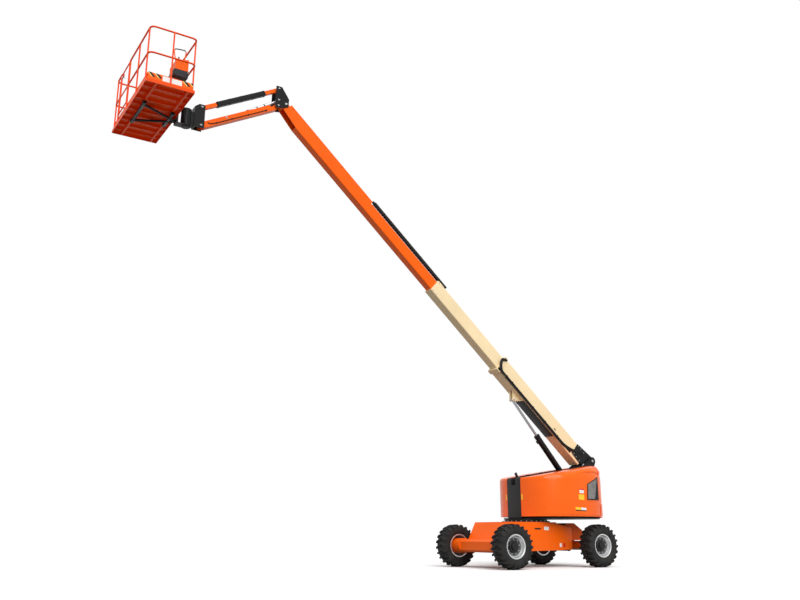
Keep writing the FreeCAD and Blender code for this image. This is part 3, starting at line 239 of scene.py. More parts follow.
class Shade:
    """A new material or world whose nodes all come from one method."""

    def __init__(self, name, kind="materials"):
        self.owner = getattr(bpy.data, kind).new(name)
        self.owner.use_nodes = True
        self.tree = self.owner.node_tree
        self.tree.nodes.clear()
        self.end = "ShaderNodeOutputMaterial" if kind == "materials" else "ShaderNodeOutputWorld"

    def node(self, kind, settings=None, inputs=None, output=0):
        made = wired(self.tree, kind, settings, inputs)
        return Wire(self, made.outputs[output]) if made.outputs else None

    def outputs(self, kind, labels, inputs=None):
        """Several outputs of one node."""
        made = self.node(kind, None, inputs).socket.node
        return [Wire(self, made.outputs[label]) for label in labels]

    def place(self):
        return self.node("ShaderNodeTexCoord", output="Object")

    def axes(self):
        return self.outputs("ShaderNodeSeparateXYZ", range(3), {"Vector": self.place()})

    def stretched(self, scale):
        return self.node("ShaderNodeMapping", {"vector_type": "TEXTURE"}, {"Vector": self.place(), "Scale": scale})

    def noise(self, scale, detail=3.0, roughness=0.5, at=None):
        return self.node("ShaderNodeTexNoise", {"noise_dimensions": "3D"},
                         {"Vector": at or self.place(), "Scale": scale, "Detail": detail, "Roughness": roughness})

    def mix(self, factor, first, second):
        first, second = (shade if isinstance(shade, Wire) else (*shade, 1) for shade in (first, second))
        return self.node("ShaderNodeMix", {"data_type": "RGBA"}, {"Factor": factor, 6: first, 7: second}, 2)

    def bump(self, height, strength, distance):
        return self.node("ShaderNodeBump", None, {"Height": height, "Strength": strength, "Distance": distance})

    def seen(self):
        """1 for camera, glossy and transmission rays, and 0 for light that falls on things."""
        camera, glossy, through = self.outputs("ShaderNodeLightPath",
                                               ("Is Camera Ray", "Is Glossy Ray", "Is Transmission Ray"))
        return camera | glossy | through

    def finish(self, **sockets):
        """Closes a material with a coated surface; socket names have _ for a space."""
        inputs = {name.replace("_", " "): value for name, value in sockets.items()}
        return self.close(self.node("ShaderNodeBsdfPrincipled", None, inputs))

    def close(self, surface):
        self.node(self.end, None, {"Surface": surface})
        return self.owner


def scaled(shade, factor):
    return tuple(min(1, channel * factor) for channel in shade)


def paint(name, shade, rough, coat, dust=None, metal=0.0, marks=()):
    """Sprayed paint: soft cloudiness, orange peel, small scuffs, painted areas, and dust as (amount, top, colour)
    that thins out with height."""
    s = Shade(name)
    cloud = s.noise(1.7, 4).between(0.3, 0.7)
    tone = s.mix(cloud, scaled(shade, 0.93), scaled(shade, 1.03))
    scuff = s.noise(38, 5, 0.7, at=s.stretched((1, 1, 6))).between(0.66, 0.76)
    tone = s.mix(scuff * 0.25, tone, scaled(shade, 0.6))
    for mark, other in marks:
        tone = s.mix(mark(s), tone, other)
    fine = s.noise(9, 6, 0.65)
    roughness = rough + (fine - 0.5) * 0.22 + scuff * 0.2
    if dust:
        amount, top, dry = dust
        low = 1 - s.axes()[2].between(0.15, top)
        veil = (fine + low * 0.35).between(0.55, 0.95) * low * amount
        tone = s.mix(veil, tone, dry)
        roughness = roughness + veil * 0.5
    return s.finish(Base_Color=tone, Roughness=roughness, Normal=s.bump(s.noise(420, 2), 0.05, 0.002),
                    Metallic=metal, Coat_Weight=coat, Coat_Roughness=0.12, Specular_IOR_Level=0.15)


def sleeve_area(s):
    """The sleeved part of the jib's upper link, by how far a place stands along the jib from its foot."""
    x, _, z = s.axes()
    along = (x - JIB_FOOT.x) * math.cos(JIB_ANGLE) + (z - JIB_FOOT.z - JIB_SPREAD) * math.sin(JIB_ANGLE)
    return (along > SLEEVE_START) * (along < SLEEVE_END)


def cabinet_area(s):
    """The dark box under the control desk, and the top of its guard hoop."""
    z = s.axes()[2]
    return (z < CABINET_TOP) | (z > GUARD_TOP)


def stripe_area(low, high):
    """Part of a slanting stripe pattern in the upper band of the panel below the end rail."""
    def area(s):
        x, y, z = s.axes()
        slant = (x + (z * -1.0)).repeated(STRIPE_PITCH)
        ends = (x > STRIPES_GAP[1]) | (x < STRIPES_GAP[0])
        return (y > STRIPES_SIDE) * (z > STRIPES_LOW) * ends * (slant > low) * (slant < high)
    return area


def grille(name, shade):
    """Grey mesh whose gaps are painted near black: painted shade of the opening behind it."""
    s = Shade(name)
    x, _, z = s.axes()
    wire = ((x + z).repeated(MESH_PITCH) > MESH_GAP) | ((x - z).repeated(MESH_PITCH) > MESH_GAP)
    # the gaps between the wires are near black: painted shade of the dark opening behind the mesh
    tone = s.mix(wire, (0.01, 0.01, 0.01), s.mix(s.noise(7, 3).between(0.3, 0.7), shade, scaled(shade, 1.8)))
    return s.finish(Base_Color=tone, Roughness=0.4, Metallic=wire * 0.7, Normal=s.bump(wire, 0.5, 0.002))


def rubber(name, shade, dust=0.35, rough=0.72):
    s = Shade(name)
    grain = s.noise(55, 6, 0.7)
    tone = s.mix(s.noise(6, 4).between(0.35, 0.7) * dust, shade, (0.09, 0.082, 0.072))
    return s.finish(Base_Color=tone, Roughness=rough + (grain - 0.5) * 0.25,
                    Normal=s.bump(grain, 0.35, 0.004), Specular_IOR_Level=0.2)


def metal(name, shade, rough, grime=0.25):
    s = Shade(name)
    streak = s.noise(90, 4, 0.6)
    dirt = s.noise(5, 5, 0.6).between(0.5, 0.8)
    tone = s.mix(dirt * grime, shade, scaled(shade, 0.35))
    return s.finish(Base_Color=tone, Metallic=1.0, Roughness=rough + (streak - 0.5) * 0.2 + dirt * 0.2,
                    Normal=s.bump(streak, 0.06, 0.002))


def plastic(name, shade, rough=0.45):
    s = Shade(name)
    tone = s.mix(s.noise(4, 4).between(0.35, 0.75) * 0.4, shade, scaled(shade, 1.5))
    return s.finish(Base_Color=tone, Roughness=rough + (s.noise(12, 4) - 0.5) * 0.2,
                    Normal=s.bump(s.noise(260, 3), 0.12, 0.001), Specular_IOR_Level=0.25)


FINISHES = {}


def make_finishes(colours):
    orange, cream, black, dry = (tuple(c) for c in (colours.orange, colours.cream, colours.black, colours.dust))
    stripes = ((stripe_area(0.0, 0.42), black), (stripe_area(0.42, 0.6), (0.95, 0.66, 0.2)))
    cabinet = ((cabinet_area, (0.03, 0.032, 0.036)),)
    FINISHES.update({
        "chassis": paint("orange chassis paint", orange, 0.4, 0.03, (0.12, 0.8, dry)),
        "hood": paint("orange hood gloss", orange, 0.25, 0.2, (0.06, 1.5, dry)),
        "weight": paint("orange counterweight gloss", orange, 0.27, 0.15, (0.06, 1.5, dry)),
        "fly": paint("orange boom paint", orange, 0.38, 0.05),
        "jib": paint("orange jib paint", scaled(orange, 0.97), 0.4, 0.04),
        "sleeve": paint("orange jib paint with a black sleeve", orange, 0.4, 0.04, marks=((sleeve_area, black),)),
        # the platform's orange keeps 62% of its green: a redder, darker copy of the orange, painted shade hue over the
        # whole platform
        "platform": paint("orange rail paint in shade red", (orange[0], orange[1] * 0.62, orange[2]), 0.42, 0.03),
        "toe": paint("orange panel with slanting stripes", orange, 0.4, 0.04, marks=stripes),
        "console": paint("orange desk over a dark cabinet", orange, 0.4, 0.04, marks=cabinet),
        "cream": paint("cream boom paint", cream, 0.4, 0.05),
        "black": paint("black bracket paint", black, 0.42, 0.04),
        "steel": metal("bare steel", (0.36, 0.36, 0.37), 0.4),
        "chrome": metal("chromed rod", (0.3, 0.31, 0.33), 0.22, 0.1),
        "engine": paint("engine grey", (0.08, 0.085, 0.09), 0.5, 0.1),
        "plastic": plastic("black moulded plastic", scaled(black, 1.3)),
        "rubber": rubber("tyre rubber", tuple(colours.rubber), 0.22),
        "hose": rubber("hose rubber", black, 0.06, 0.45),
        "silver": paint("silver rim paint", tuple(colours.silver), 0.3, 0.2, (0.1, 0.9, dry), 0.75),
        # the wheel disc is dark grey: painted shade of the deep dish it sits in
        "shaded_disc": paint("grey wheel disc in painted shade", (0.11, 0.11, 0.115), 0.4, 0.1, metal=0.5),
        "tread": metal("floor tread steel", (0.16, 0.16, 0.16), 0.5, 0.4),
        "hub": paint("dark hub paint", (0.012, 0.012, 0.012), 0.45, 0.1),
        "exhaust": metal("exhaust steel", (0.07, 0.07, 0.075), 0.4, 0.5),
        "label": plastic("blank label white", (0.8, 0.8, 0.78), 0.35),
        "yellow": plastic("blank marking yellow", (0.95, 0.55, 0.03), 0.35),
        "red": plastic("signal red", (0.62, 0.015, 0.01), 0.35),
        "seal": rubber("black seal", scaled(black, 0.8), 0.1, 0.6),
        "mesh": grille("vent mesh grey", (0.2, 0.19, 0.18)),
    })


COATED = (
    ("chassis", "chassis_frame drive_axle steer_axle knuckle_left knuckle_right"), ("steel", "tie_rod"),
    ("black", "steer_cylinder swing_bearing turntable_frame"), ("weight", "counterweight"),
    ("hood", "hood_left hood_right"), ("plastic", "centre_cover"), ("engine", "engine_block"),
    ("exhaust", "exhaust_pipe"), ("cream", "base_boom mid_boom"), ("fly", "fly_boom hose_tray"),
    ("black", "boom_tail_bracket"), ("hose", "base_boom_hoses"), ("black", "lift_barrel"), ("chrome", "lift_rod"),
    ("black", "tip_bracket"), ("jib", "jib_lower_arm"), ("sleeve", "jib_upper_arm"), ("silver", "jib_barrel"),
    ("chrome", "jib_rod"), ("black", "jib_head platform_support"),
    ("platform", "platform_floor platform_rails platform_gate"), ("toe", "toe_boards"),
    ("console", "control_console"),
)


# ---- mesh kit -----------------------------------------------------------------------------
def piece(name, mesh, finish, body, *replaced):
    """A finished mesh at the origin, on its body, standing for the CAD nodes it replaces."""
    made = bpy.data.objects.new(name, mesh)
    bpy.context.scene.collection.objects.link(made)
    if finish:
        mesh.materials.clear()
        mesh.materials.append(FINISHES[finish])
    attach(made, body)
    if replaced:
        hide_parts(*replaced)
    return made


def poured(name, form):
    """The mesh of a bmesh, which is let go."""
    mesh = bpy.data.meshes.new(name)
    form.to_mesh(mesh)
    form.free()
    return mesh


def smooth(mesh, degrees=32):
    mesh.polygons.foreach_set("use_smooth", [True] * len(mesh.polygons))
    mesh.set_sharp_from_angle(angle=math.radians(degrees))
    return mesh


def mesh_of(name, form, degrees=32):
    """A bmesh turned into a mesh with outward faces."""
    bmesh.ops.remove_doubles(form, verts=form.verts, dist=1e-5)
    bmesh.ops.recalc_face_normals(form, faces=form.faces)
    return smooth(poured(name, form), degrees)


def refined(node, finish):
    """A merged copy of a CAD node, so that its curved faces shade smoothly."""
    form = bmesh.new()
    form.from_mesh(frame["nodes"][node].data)
    bmesh.ops.remove_doubles(form, verts=form.verts, dist=2e-5)
    mesh = poured(node + "_finish", form)
    if "custom_normal" in mesh.attributes:
        mesh.attributes.remove(mesh.attributes["custom_normal"])
    return piece(node + "_finish", smooth(mesh), finish, BODY_OF[node], node)


def lathe(profile, centre, axis, steps):
    """Turns a closed outline of (along, radius) points about an axis through centre."""
    axis = axis.normalized()
    side = axis.orthogonal().normalized()
    other = axis.cross(side)
    form, rings = bmesh.new(), []
    for i in range(steps):
        turn = 2 * math.pi * i / steps
        out = side * math.cos(turn) + other * math.sin(turn)
        rings.append([form.verts.new(centre + axis * along + out * radius) for along, radius in profile])
    for near, far in zip(rings, rings[1:] + rings[:1]):
        for j, (_, radius) in enumerate(profile):
            k = (j + 1) % len(profile)
            if radius or profile[k][1]:
                form.faces.new((near[j], near[k], far[k], far[j]))
    return form


def collar(inner, outer, low, high, top, rim):
    """Outline of a flat ring from low to top, its outer edge eased inwards above high."""
    return [(low, inner), (low, outer), (high, outer), (top, rim), (top, inner)]


class Build:
    """Gathers the shapes of one piece, drawn in a space of its own, such as along the raised boom."""

    def __init__(self, name, body, finish, space=WORLD):
        self.name, self.body, self.finish, self.space = name, body, finish, space
        self.whole = bmesh.new()

    def take(self, form, matrix=WORLD):
        """Adds a closed shape, its faces turned outwards."""
        bmesh.ops.transform(form, matrix=self.space @ matrix, verts=form.verts)
        bmesh.ops.recalc_face_normals(form, faces=form.faces)
        mesh = poured("shape", form)
        self.whole.from_mesh(mesh)
        bpy.data.meshes.remove(mesh)
        return self

    def block(self, centre, size, chamfer=0.003, turn=WORLD):
        form = bmesh.new()
        bmesh.ops.create_cube(form, size=1.0, matrix=Matrix.Diagonal((*size, 1)))
        if chamfer:
            bmesh.ops.bevel(form, geom=form.edges[:], offset=chamfer, segments=2, profile=0.7, affect="EDGES")
        return self.take(form, Matrix.Translation(centre) @ turn)

    def plate(self, outline, low, high, across="y", chamfer=0.0):
        """A plate with a drawn outline; its thickness runs from low to high across it."""
        lay = {"x": lambda a, b, c: (c, a, b), "y": lambda a, b, c: (a, c, b)}[across]
        form = bmesh.new()
        near = [form.verts.new(lay(a, b, low)) for a, b in outline]
        far = [form.verts.new(lay(a, b, high)) for a, b in outline]
        form.faces.new(near)
        form.faces.new(far)
        for i in range(len(outline)):
            form.faces.new((near[i - 1], near[i], far[i], far[i - 1]))
        if chamfer:
            edges = [e for face in form.faces if len(face.verts) == len(outline) for e in face.edges]
            bmesh.ops.bevel(form, geom=list(set(edges)), offset=chamfer, segments=1, affect="EDGES")
        return self.take(form)

    def side_plate(self, side, outline, low, high, chamfer=0.0):
        """A plate that stands from low to high off the middle, on one side."""
        return self.plate(outline, *sorted((side * low, side * high)), chamfer=chamfer)

    def turned(self, profile, centre, axis, steps=32):
        return self.take(lathe(profile, Vector(centre), Vector(axis), steps))

    def knob(self, profile, centre, axis, steps):
        """A turned shape closed flat to its axis at both ends."""
        return self.turned([(profile[0][0], 0.0), *profile, (profile[-1][0], 0.0)], centre, axis, steps)

    def bolt(self, at, axis, radius):
        """A washer with a hexagon head on it."""
        axis, at = Vector(axis).normalized(), Vector(at)
        self.knob([(0, radius * 1.25), (radius * 0.25, radius * 1.25)], at, axis, 16)
        return self.knob([(radius * 0.2, radius), (radius * 0.95, radius), (radius * 1.1, radius * 0.85)], at, axis, 6)

    def bolt_ring(self, centre, across, up, ring, axis, radius, turns):
        """Bolts round a centre, at angles in degrees in the plane of two directions."""
        for turn in map(math.radians, turns):
            self.bolt([c + math.cos(turn) * ring * a + math.sin(turn) * ring * u
                       for c, a, u in zip(centre, across, up)], axis, radius)

    def pin_head(self, at, axis, radius, keeper=None):
        """The turned head of a pin, with a keeper plate and its screw where one is given."""
        at, axis = Vector(at), Vector(axis)
        self.knob([(-0.002, radius), (0.006, radius), (0.009, radius - 0.004), (0.009, radius * 0.35),
                   (0.006, radius * 0.3)], at, axis, 24)
        if keeper:
            beside = at + Vector(keeper).normalized() * radius * 1.25
            self.knob([(0, radius * 0.55), (0.004, radius * 0.55)], beside, axis, 12)
            self.bolt(beside + axis * 0.003, axis, radius * 0.3)
        return self

    def tube(self, points, radius, sides=12):
        """A round bar or hose along a line of points."""
        points = [Vector(p) for p in points]
        runs = [(after - before).normalized() for before, after in zip(points, points[1:])]
        form, rings, side = bmesh.new(), [], None
        for i, point in enumerate(points):
            before = runs[max(i - 1, 0)]
            along = (before + runs[min(i, len(runs) - 1)]).normalized()
            side = along.orthogonal() if side is None else side - along * side.dot(along)
            side.normalize()
            other = along.cross(side)
            spread = 1 / max(0.5, along.dot(before))
            rings.append([form.verts.new(point + (side * math.cos(2 * math.pi * k / sides)
                                                  + other * math.sin(2 * math.pi * k / sides)) * radius * spread)
                          for k in range(sides)])
        for near, far in zip(rings, rings[1:]):
            for k in range(sides):
                form.faces.new((near[k - 1], near[k], far[k], far[k - 1]))
        form.faces.new(rings[0])
        form.faces.new(rings[-1])
        return self.take(form)

    def done(self, *replaced):
        """Makes the piece."""
        bmesh.ops.remove_doubles(self.whole, verts=self.whole.verts, dist=1e-6)
        return piece(self.name, smooth(poured(self.name, self.whole), SHARP), self.finish, self.body, *replaced)

    def grow(self, tree, values, *replaced):
        """Repeats the shapes with a tree and makes one plain piece, which keeps the tree's material."""
        mesh = grown(self.name, poured(self.name + "_seed", self.whole), tree, self.finish, values)
        return piece(self.name, smooth(mesh, SHARP), None, self.body, *replaced)


def eased(points, steps=6):
    """A smooth line through given points, as a stiff hose lies."""
    points = [Vector(p) for p in points]
    ends = [points[0] * 2 - points[1]] + points + [points[-1] * 2 - points[-2]]
    line = []
    for a, b, c, d in zip(ends, ends[1:], ends[2:], ends[3:]):
        for i in range(steps):
            t = i / steps
            line.append(0.5 * (2 * b + (c - a) * t + (2 * a - 5 * b + 4 * c - d) * t * t
                               + (3 * b - a - 3 * c + d) * t * t * t))
    return line + [points[-1]]


def rounded(points, radius, steps=6):
    """Straight runs with a bend of the given radius at each turn, as a tube is bent."""
    points = [Vector(p) for p in points]
    line = [points[0]]
    for before, at, after in zip(points, points[1:], points[2:]):
        back, on = (before - at).normalized(), (after - at).normalized()
        half = back.angle(on) / 2
        reach = min(radius / math.tan(half), (before - at).length * 0.49, (after - at).length * 0.49)
        start, end = at + back * reach, at + on * reach
        for i in range(steps + 1):
            t = i / steps
            line.append(start * (1 - t) ** 2 + at * 2 * t * (1 - t) + end * t ** 2)
    return line + [points[-1]]


def film(name, low, top):
    """A closed sheet between two grids of places."""
    form = bmesh.new()
    low, top = ([[form.verts.new(place) for place in row] for row in sheet] for sheet in (low, top))
    for i in range(len(low) - 1):
        for j in range(len(low[0]) - 1):
            form.faces.new((top[i][j], top[i + 1][j], top[i + 1][j + 1], top[i][j + 1]))
            form.faces.new((low[i][j], low[i][j + 1], low[i + 1][j + 1], low[i + 1][j]))
    across_low, across_top = list(zip(*low)), list(zip(*top))
    for near, far in ((low[0], top[0]), (low[-1], top[-1]), (across_low[0], across_top[0]),
                      (across_low[-1], across_top[-1])):
        for i in range(len(near) - 1):
            form.faces.new((near[i], near[i + 1], far[i + 1], far[i]))
    return mesh_of(name, form)


def skin(name, body, finish, target, outline, toward, lift=0.0012, fine=10):
    """A thin film laid on a curved piece: outline gives its four corners, dropped along a direction."""
    tree = BVHTree.FromObject(target, bpy.context.evaluated_depsgraph_get())
    a, b, c, d = (Vector(corner) for corner in outline)
    toward = toward.normalized()
    low, top = [], []
    for i in range(fine + 1):
        low.append([])
        top.append([])
        for j in range(fine + 1):
            u, v = i / fine, j / fine
            start = (a * (1 - u) + b * u) * (1 - v) + (d * (1 - u) + c * u) * v
            hit = tree.ray_cast(start - toward * 2, toward)[0]
            if hit is None:
                raise RuntimeError(name + " misses the piece it lies on")
            low[i].append(hit + toward * 0.0005)
            top[i].append(hit - toward * (lift(u, v) if callable(lift) else lift))
    return piece(name, film(name, low, top), finish, body)


# ---- geometry node trees ------------------------------------------------------------------
class Growth:
    """A geometry node tree with named inputs, ending in Realize Instances and Set Material."""

    def __init__(self, name, *inputs):
        self.tree = bpy.data.node_groups.new(name, "GeometryNodeTree")
        self.tree.interface.new_socket("Geometry", in_out="INPUT", socket_type="NodeSocketGeometry")
        self.names = {}
        for label, kind in (*inputs, ("Material", "NodeSocketMaterial")):
            self.names[label] = self.tree.interface.new_socket(label, in_out="INPUT", socket_type=kind).identifier
        self.tree.interface.new_socket("Geometry", in_out="OUTPUT", socket_type="NodeSocketGeometry")
        self.source = self.tree.nodes.new("NodeGroupInput")

    def take(self, label):
        return self.source.outputs[label]

    def node(self, kind, settings=None, inputs=None):
        return wired(self.tree, kind, settings, inputs).outputs[0]

    def scaled(self, vector, factor):
        return self.node("ShaderNodeVectorMath", {"operation": "SCALE"}, {0: vector, "Scale": factor})

    def copies(self, position, piece, rotation=(0, 0, 0)):
        """Closes the tree with as many copies of a piece as its Count says."""
        points = self.node("GeometryNodePoints", None, {"Count": self.take("Count"), "Position": position})
        copied = self.node("GeometryNodeInstanceOnPoints", None,
                           {"Points": points, "Instance": piece, "Rotation": rotation})
        realized = self.node("GeometryNodeRealizeInstances", None, {"Geometry": copied})
        coated = self.node("GeometryNodeSetMaterial", None, {"Geometry": realized, "Material": self.take("Material")})
        wired(self.tree, "NodeGroupOutput", None, {"Geometry": coated})
        return self


def ring_tree():
    """Copies a piece in a ring about an axis through a centre."""
    g = Growth("Ring", ("Count", "NodeSocketInt"), ("Centre", "NodeSocketVector"), ("Axis", "NodeSocketVector"))
    share = g.node("ShaderNodeMath", {"operation": "DIVIDE"},
                   {0: g.node("GeometryNodeInputIndex"), 1: g.take("Count")})
    angle = g.node("ShaderNodeMath", {"operation": "MULTIPLY"}, {0: share, 1: 2 * math.pi})
    turn = g.node("FunctionNodeAxisAngleToRotation", None, {"Axis": g.take("Axis"), "Angle": angle})
    moved = g.node("GeometryNodeTransform", None,
                   {"Geometry": g.take("Geometry"), "Translation": g.scaled(g.take("Centre"), -1.0)})
    return g.copies(g.take("Centre"), moved, turn)


def row_tree():
    """Copies a piece in a row, one step apart."""
    g = Growth("Row", ("Count", "NodeSocketInt"), ("Step", "NodeSocketVector"))
    return g.copies(g.scaled(g.take("Step"), g.node("GeometryNodeInputIndex")), g.take("Geometry"))


TREES = {}


def grown(name, mesh, tree, finish, values):
    """Runs a tree on a mesh and returns the plain mesh it makes."""
    if tree not in TREES:
        TREES[tree] = tree()
    seedling = bpy.data.objects.new(name + "_seed", mesh)
    bpy.context.scene.collection.objects.link(seedling)
    modifier = seedling.modifiers.new("Growth", "NODES")
    modifier.node_group = TREES[tree].tree
    for label, value in dict(values, Material=FINISHES[finish]).items():
        modifier[TREES[tree].names[label]] = value
    bpy.context.view_layer.update()
    graph = bpy.context.evaluated_depsgraph_get()
    result = bpy.data.meshes.new_from_object(seedling.evaluated_get(graph), depsgraph=graph)
    result.name = name
    seedling.modifiers.remove(modifier)
    bpy.data.objects.remove(seedling)
    return result


# ---- pieces -------------------------------------------------------------------------------
class BOOMLIFT_OT_finishes(bpy.types.Operator):
    """Gives the listed CAD pieces their paint, metal, rubber or plastic"""
    bl_idname = "boomlift.finishes"
    bl_label = "Finishes"

    def execute(self, context):
        make_finishes(context.scene.boomlift_colours)
        for finish, nodes in COATED:
            for node in nodes.split():
                refined(node, finish)
        return {"FINISHED"}


class BOOMLIFT_OT_tyres(bpy.types.Operator):
    """Makes four traction tyres with angled lugs"""
    bl_idname = "boomlift.tyres"
    bl_label = "Tyres"

    def execute(self, context):
        sizes = context.scene.boomlift_sizes
        casing = TYRE_RADIUS - sizes.lug_height
        half = [(0.128, RIM_SEAT), (0.134, RIM_SEAT + 0.018), (0.158, RIM_SEAT + 0.05), (0.168, RIM_SEAT + 0.1),
                (0.166, 0.36), (0.155, casing - 0.026), (0.13, casing - 0.008), (0.07, casing)]
        profile = [(-across, radius) for across, radius in half] + half[::-1]
        pitch = 2 * math.pi / sizes.lug_count
        for wheel, (x, y) in WHEELS.items():
            centre = Vector((x, y, AXLE_Z))
            tread = bmesh.new()
            self.lug(tread, centre, 1, 0.0, casing)
            self.lug(tread, centre, -1, pitch / 2, casing)
            bmesh.ops.recalc_face_normals(tread, faces=tread.faces)
            whole = bmesh.new()
            whole.from_mesh(mesh_of("casing", lathe(profile, centre, Y, WHEEL_STEPS)))
            whole.from_mesh(grown("lugs", poured("lug", tread), ring_tree, "rubber",
                                  {"Count": sizes.lug_count, "Centre": tuple(centre), "Axis": (0, 1, 0)}))
            mesh = smooth(poured("tyre_" + wheel, whole), 38)
            piece("tyre_" + wheel + "_rubber", mesh, "rubber", "wheel_" + wheel, "tyre_" + wheel)
        return {"FINISHED"}

    def lug(self, form, centre, side, phase, casing):
        """One curved lug from the middle of the tread out to the shoulder.

        Each station gives its place across, its lead round the tyre, its width, the depth of its foot below the
        casing, how much wider the foot is, and the drop of its top below the tread.
        """
        rows = []
        for across, lead, width, depth, foot, drop in (
                (-0.012, 0.0, 0.030, 0.02, 1.25, 0), (0.05, 0.035, 0.031, 0.02, 1.25, 0),
                (0.11, 0.085, 0.037, 0.02, 1.25, 0.002), (TYRE_HALF - 0.012, 0.135, 0.044, 0.02, 1.25, 0.014),
                (TYRE_HALF * 0.995, 0.135, 0.046, 0.07, 1.3, 0.03)):
            row = []
            for radius, spread in ((casing - depth, foot), (TYRE_RADIUS - drop, 1.0)):
                for edge in (-1, 1):
                    angle = phase + lead * 0.9 + edge * width * spread / 2 / TYRE_RADIUS
                    row.append(form.verts.new(centre + Vector((radius * math.sin(angle), side * across,
                                                               radius * math.cos(angle)))))
            rows.append(row)
        for near, far in zip(rows, rows[1:]):
            for a, b in ((0, 1), (1, 3), (3, 2), (2, 0)):
                form.faces.new((near[a], near[b], far[b], far[a]))
        for row in (rows[0], rows[-1]):
            form.faces.new((row[0], row[1], row[3], row[2]))


class BOOMLIFT_OT_rims(bpy.types.Operator):
    """Makes the dished rims, hubs and wheel nuts"""
    bl_idname = "boomlift.rims"
    bl_label = "Rims"

    def execute(self, context):
        barrel = [(-0.142, 0.226), (-0.142, 0.25), (-0.128, 0.25), (-0.124, 0.236), (0.124, 0.236), (0.128, 0.25),
                  (0.135, 0.252), (0.142, 0.25), (0.142, 0.24), (0.134, 0.226), (0.105, 0.219), (0.09, 0.205),
                  (0.072, 0.2), (0.069, 0.192), (0.062, 0.19), (0.062, 0.2), (0.086, 0.212), (-0.128, 0.224)]
        disc = [(0.06, 0.196), (0.067, 0.19), (0.062, 0.165), (0.04, 0.15), (0.036, 0.126), (0.024, 0.124),
                (0.026, 0.16), (0.05, 0.18), (0.052, 0.196)]
        hub = [(0.03, 0.0), (0.03, 0.125), (0.062, 0.122), (0.07, 0.112), (0.074, 0.08), (0.104, 0.074),
               (0.112, 0.066), (0.114, 0.0)]
        for wheel, (x, y) in WHEELS.items():
            centre, out = Vector((x, y, AXLE_Z)), math.copysign(1, y)
            # the disc takes the dark finish that paints the shade inside the dish
            for part, outline, finish, replaced in (("barrel", barrel, "silver", ("rim_" + wheel,)),
                                                    ("disc", disc, "shaded_disc", ()), ("hub", hub, "hub", ())):
                turned = lathe([(a * out, r) for a, r in outline], centre, Y, WHEEL_STEPS)
                piece("rim_" + wheel + "_" + part, mesh_of(part, turned, 30), finish, "wheel_" + wheel, *replaced)
            nut = Build("nuts_" + wheel, "wheel_" + wheel, "steel")
            nut.bolt(centre + Vector((0, out * 0.05, 0.155)), Y * out, 0.0125)
            nut.grow(ring_tree, {"Count": context.scene.boomlift_sizes.nut_count, "Centre": tuple(centre),
                                 "Axis": (0, 1, 0)})
        return {"FINISHED"}


class BOOMLIFT_OT_chassis_fittings(bpy.types.Operator):
    """Adds the chassis' slots as black plates of painted shade, and its plates, bearing bolts, hoses and axle fittings
    """
    bl_idname = "boomlift.chassis_fittings"
    bl_label = "Chassis fittings"

    def execute(self, context):
        Build("bearing_flange", "chassis", "black").turned(
            collar(0.47, 0.545, 0, 0.012, 0.016, 0.541), (0, 0, 0.9652), Z, 64).done()
        Build("bearing_bolts", "chassis", "steel").bolt((0.517, 0, 0.981), Z, 0.013).grow(
            ring_tree, {"Count": context.scene.boomlift_sizes.bearing_bolts, "Centre": (0, 0, 0), "Axis": (0, 0, 1)})
        # each slot in the chassis sides is a solid black plate: painted shade of the slot's dark inside
        slot = Build("chassis_slot_shade_fill", "chassis", "black")
        plate = Build("chassis_blank_plates", "chassis", "label")
        for side in SIDES:
            slot.side_plate(side, stadium(0.178, 0.822, 0.075, 0.016), CHASSIS_SIDE, 0.603, 0.0012)
            plate.side_plate(side, [(-0.148, 0.79), (-0.148, 0.862), (-0.007, 0.868), (-0.007, 0.796)],
                             CHASSIS_SIDE, 0.6012)
        slot.done()
        plate.done()
        for name, finish, x in (("chassis_small_plate", "label", -0.50), ("chassis_red_plate", "red", -0.64)):
            skin(name, "chassis", finish, bpy.data.objects["chassis_frame_finish"],
                 [(x - 0.04, 0, 0.43), (x + 0.04, 0, 0.43), (x + 0.04, 0, 0.51), (x - 0.04, 0, 0.51)], -Y, fine=2)
        caps = Build("axle_fittings", "chassis", "black")
        for side in SIDES:
            for top, direction in ((0.5455, 1), (0.3745, -1)):
                caps.turned(collar(0.0, 0.042, 0, 0.006, 0.009, 0.037), (-AXLE_X, side * 0.7, top), Z * direction, 24)
            caps.turned(collar(0.026, 0.054, -0.012, 0.012, 0.015, 0.05), (-1.035, side * 0.255, 0.3832), Y * side,
                        24)
        caps.done()
        hoses = Build("axle_hoses", "chassis", "hose")
        for side in SIDES:
            for x in (1.10, 1.10 - 0.026):
                hoses.tube(eased([(x, side * 0.30, 0.612), (x, side * 0.42, 0.611), (x + 0.02, side * 0.54, 0.611),
                                  (x + 0.055, side * 0.64, 0.608), (x + 0.075, side * 0.672, 0.58),
                                  (x + 0.075, side * 0.674, 0.53)]), 0.0095, 10)
            hoses.tube(eased([(-1.09, side * 0.12, 0.5535), (-1.10, side * 0.3, 0.5535), (-1.12, side * 0.5, 0.5535),
                              (-1.14, side * 0.58, 0.552)]), 0.0085, 10)
        hoses.done()
        clips = Build("axle_hose_clips", "chassis", "steel")
        for side in SIDES:
            for y in (0.36, 0.5):
                clips.block((1.09, side * y, 0.608), (0.07, 0.018, 0.034), 0.004)
            clips.block((-1.10, side * 0.3, 0.5525), (0.034, 0.016, 0.024))
        clips.done()
        return {"FINISHED"}


def stadium(x, z, half_length, radius):
    """Outline of a slot with round ends."""
    outline = []
    for end in SIDES:
        for step in range(9):
            turn = math.radians(-90 * end + 22.5 * step)
            outline.append((x + end * half_length + radius * math.cos(turn), z + radius * math.sin(turn)))
    return outline


def shoulder(v):
    """Height of the moulded shoulder across its width: a sharp lower edge, then a long round fall."""
    return 0.001 + 0.034 * min(1, v / 0.1) ** 0.5 * math.cos(math.pi / 2 * v) ** 0.6


def hood_line(x):
    """Height of the upper works' top line."""
    return 1.93 + (0.33 - x) * HOOD_RISE / HOOD_RUN


